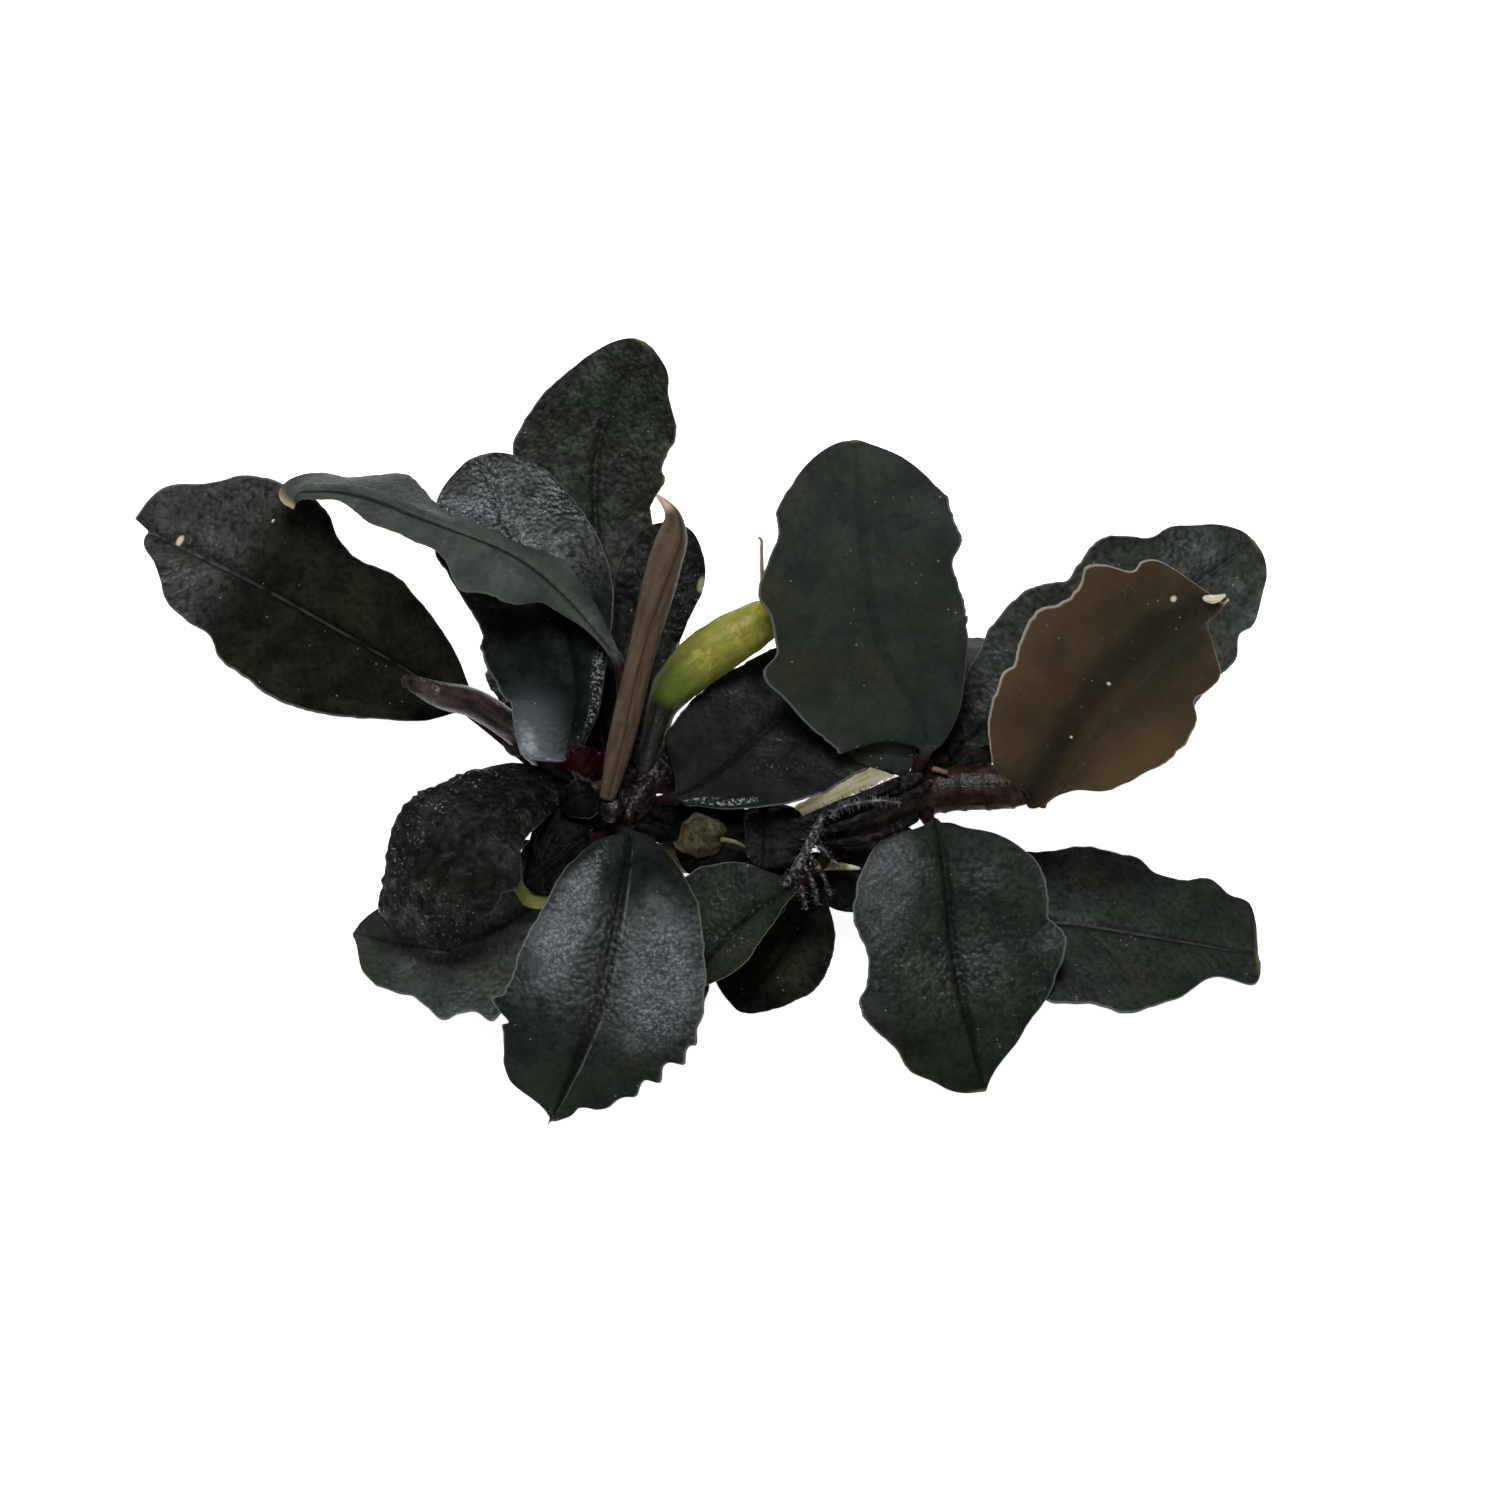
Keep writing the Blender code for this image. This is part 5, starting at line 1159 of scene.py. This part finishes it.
STEM_LOOKS = {
    "maroon": dict(
        dark=(4.2, 1.6, 1.3), light=(21, 7.5, 5.5), mottle=(85, 50, 37), rough=0.34, specular=0.2,
        mottle_share=0.45),
    # Near-black maroon of the crown: its own dark maroon, deepened as painted shade of the leaves over it
    "crown": dict(dark=(1.6, 0.8, 0.7), light=(6, 2.2, 1.8), mottle=(8, 4, 3), rough=0.3, specular=0.25),
    "rhizome": dict(dark=(16, 13, 5), light=(55, 46, 18), mottle=(130, 115, 55), rough=0.5, mottles=900),
    "rolled": dict(
        dark=(44, 28, 18), light=(78, 51, 33), mottle=(98, 66, 43), bands=((29, 30.2, (460, 340, 220)),),
        # The inner turn's darker olive-brown is partly painted shade
        shaded_inner_turn=(0.735, (50, 32, 12)), rough=0.4, mottle_share=0.4),
    "rolled_inside": dict(dark=(30, 20, 8), light=(75, 52, 20), mottle=(90, 70, 35)),
    "stump": dict(
        dark=(8, 4.5, 4), light=(30, 17, 14.5), mottle=(70, 45, 42),
        bands=((23.1, 23.4, (500, 400, 340)),), rough=0.26, specular=0.35, mottle_share=0.4),
    "stump_inside": dict(
        dark=(6, 4, 3), light=(30, 20, 15), mottle=(500, 420, 330), mottle_share=0.35, mottles=200),
    # The spathe's stalk end keeps the dark base colour: its own dark brown, deepened as painted shade of the
    # crown
    "spathe": dict(
        dark=(3.5, 2.2, 1.4), light=(13, 9, 5), mottle=(20, 15, 8),
        bands=((7.4, 9.2, (85, 125, 10)), (10.6, 14.5, (205, 205, 25)), (18.5, 22.5, (200, 190, 20))),
        blotch=(360, 290, 50), rough=0.45, specular=0.18),
    "thread": dict(dark=(160, 100, 50), light=(300, 200, 100), mottle=(200, 130, 70)),
    "old_stalk": dict(
        # The old stalk's glow is painted light, standing in for light shining through it from behind
        backlit_glow=0.35, dark=(500, 430, 200), light=(800, 740, 460), mottle=(880, 840, 660),
        bands=((7, 10, (300, 240, 120)), (10.2, 12, (100, 60, 25))), rough=0.5),
    "root": dict(dark=(2, 1.2, 1.2), light=(8.5, 6, 5.8), mottle=(22, 17, 17), rough=0.45, specular=0.1),
    "grey_root": dict(
        dark=(5, 4, 4), light=(22, 19, 19), mottle=(280, 270, 265), rough=0.5, mottles=2400,
        mottle_share=0.7),
    "pale_root": dict(
        dark=(30, 27, 28), light=(110, 105, 105), mottle=(340, 330, 330), rough=0.5, mottles=1500),
    "strand": dict(
        dark=(1.8, 1.1, 1), light=(9, 6, 5.4), mottle=(110, 95, 95), rough=0.55, mottles=1700,
        mottle_share=0.25, specular=0.06),
    "yellow_spike": dict(
        dark=(70, 65, 18), light=(160, 150, 50), mottle=(260, 250, 120),
        bands=((2.6, 3.4, (600, 550, 420)),), rough=0.5),
    "scar": dict(dark=(60, 34, 26), light=(150, 90, 70), mottle=(240, 160, 130), rough=0.5),
    "cream_hook": dict(dark=(400, 310, 210), light=(680, 600, 480), mottle=(800, 740, 620), rough=0.45),
}


def stage_and_view():
    """Pale floor, soft lights and the camera at the photograph's angle."""
    bpy.ops.mesh.primitive_plane_add(size=6)
    floor = bpy.context.object
    floor.name = "floor"
    material, shader = new_material("floor_white")
    feed(shader["Base Color"], (900, 900, 900))
    feed(shader["Roughness"], 0.9)
    feed(shader["Specular IOR Level"], 0)
    feed(shader["Emission Color"], WHITE)
    feed(shader["Emission Strength"], 0.9)
    floor.data.materials.append(material)

    lights = (
        ("softbox_overhead", (-0.03, 0.02, 0.50), (0.26, 0.24), 2.4, (0.95, 0.98, 1.0)),
        ("small_key", (-0.05, 0.06, 0.55), (0.06, 0.06), 0.3, (0.95, 0.98, 1.0)),
        ("softbox_back_left", (-0.42, 0.32, 0.36), (0.3, 0.3), 0.8, (0.90, 0.96, 1.0)),
        ("fill_front", (0.15, -0.75, 0.55), (0.8, 0.6), 1.2, (1.0, 0.99, 0.97)),
    )
    for name, place, size, power, colour in lights:
        data = bpy.data.lights.new(name, "AREA")
        data.shape = "RECTANGLE"
        data.size, data.size_y = size
        data.energy = power
        data.color = colour
        light = bpy.data.objects.new(name, data)
        light.location = place
        light.rotation_euler = (-Vector(place)).to_track_quat("-Z", "Y").to_euler()
        bpy.context.scene.collection.objects.link(light)

    world = bpy.data.worlds.new("studio")
    bpy.context.scene.world = world
    world.use_nodes = True
    tree = world.node_tree
    dim = tree.nodes["Background"]
    feed(dim.inputs["Color"], (850, 900, 1000))
    feed(dim.inputs["Strength"], 0.1)
    bright = add(tree, "ShaderNodeBackground", {"Color": WHITE, "Strength": 1})
    seen = add(tree, "ShaderNodeLightPath", {}).outputs["Is Camera Ray"]
    sources = {k: Value(socket) for k, socket in enumerate((seen, dim.outputs[0], bright.outputs[0]))}
    both = add(tree, "ShaderNodeMixShader", sources)
    tree.links.new(both.outputs[0], tree.nodes["World Output"].inputs[0])

    data = bpy.data.cameras.new("camera")
    data.lens = LENS
    data.sensor_width = SENSOR
    data.clip_start = 0.01
    camera = bpy.data.objects.new("camera", data)
    camera.location = Vector((VIEW_TARGET + TOWARDS_VIEW * VIEW_DISTANCE - PLANT_MIDDLE) * MM)
    camera.rotation_euler = (math.pi / 2 - VIEW_ELEVATION, 0, 0)
    bpy.context.scene.collection.objects.link(camera)
    bpy.context.scene.camera = camera
    bpy.context.scene.view_settings.view_transform = "Standard"


def dress(obj, materials, nodes=()):
    """The piece rides with the plant, takes its materials and stands for its nodes."""
    for material in materials:
        obj.data.materials.append(material)
    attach(obj, "root")
    if nodes:
        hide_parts(*nodes)


def main():
    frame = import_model()
    stage_and_view()
    leaves = {name: leaf_material("leaf_" + name, look) for name, look in LEAF_LOOKS.items()}
    stems = {name: stem_material("stem_" + name, look) for name, look in STEM_LOOKS.items()}
    slots = {entry["node"]: entry["material_slot"] for entry in frame["record"]["subparts"]}

    for k, (name, leaf) in enumerate(LEAVES.items()):
        leaf = LEAF | leaf
        materials = (leaves[leaf["look"]], leaves[leaf["underside"]])
        dress(leaf_mesh(name + "_blade", leaf, 10 * k), materials, (name,))
    for k, (name, leaf) in enumerate(BRACTS.items()):
        leaf = BRACT | leaf
        slot = "maroon_shoot" if "red" in name else "old_leaf"
        dress(leaf_mesh(name, leaf, BRACT_SEED + 10 * k), [leaves[leaf["look"]]] * 2)

    def stem(name, skins, *kinds, slot=None):
        """Round piece; it stands for the node of its name unless it has a slot of its own."""
        materials = [stems[kind] for kind in kinds]
        if slot:
            dress(solid(name, skins), materials)
        else:
            dress(solid(name + "_skin", skins), materials, (name,))

    for k, (name, (points, radii, kind)) in enumerate(SHOOTS.items()):
        stem(name, [tube(points, radii, 90, 40, scarred(k))], kind)
    stem("rolled_new_leaf", [roll(**ROLLED_NEW_LEAF, rings=90, sides=48)], "rolled", "rolled_inside")
    stem("rolled_stump", [roll(**ROLLED_STUMP, rings=70, sides=40)], "stump", "stump_inside")
    stem("spathe", [tube(*SPATHE, 110, 48, swollen(31))], "spathe")
    stem("spathe_thread", [tube(*SPATHE_THREAD, 24, 8)], "thread", slot=slots["spathe"])
    stem("old_stalk", [tube(*OLD_STALK, 50, 24, wiry(5))], "old_stalk")
    stem("upper_root", hairy(**UPPER_ROOT), "root")
    stem("black_root_strands", hairy(**BLACK_STRANDS), "strand", slot="root")
    stem("grey_root_arc", hairy(**GREY_ARC), "pale_root", slot="root")
    stem("hairy_grey_root", hairy(**HAIRY_ROOT) + hairy(**SIDE_ROOTS), "grey_root", slot="root")
    for k, (name, (points, radii, kind, slot)) in enumerate(CROWN_PIECES.items()):
        stem(name, [tube(points, radii, 40, 28, wiry(90 + k))], kind, slot=slot)
    for k, (name, path) in enumerate(ROOT_PATHS.items()):
        stem(name, [tube(path, ROOT_RADIUS, 60, 14, wiry(20 + k))], "root")


main()
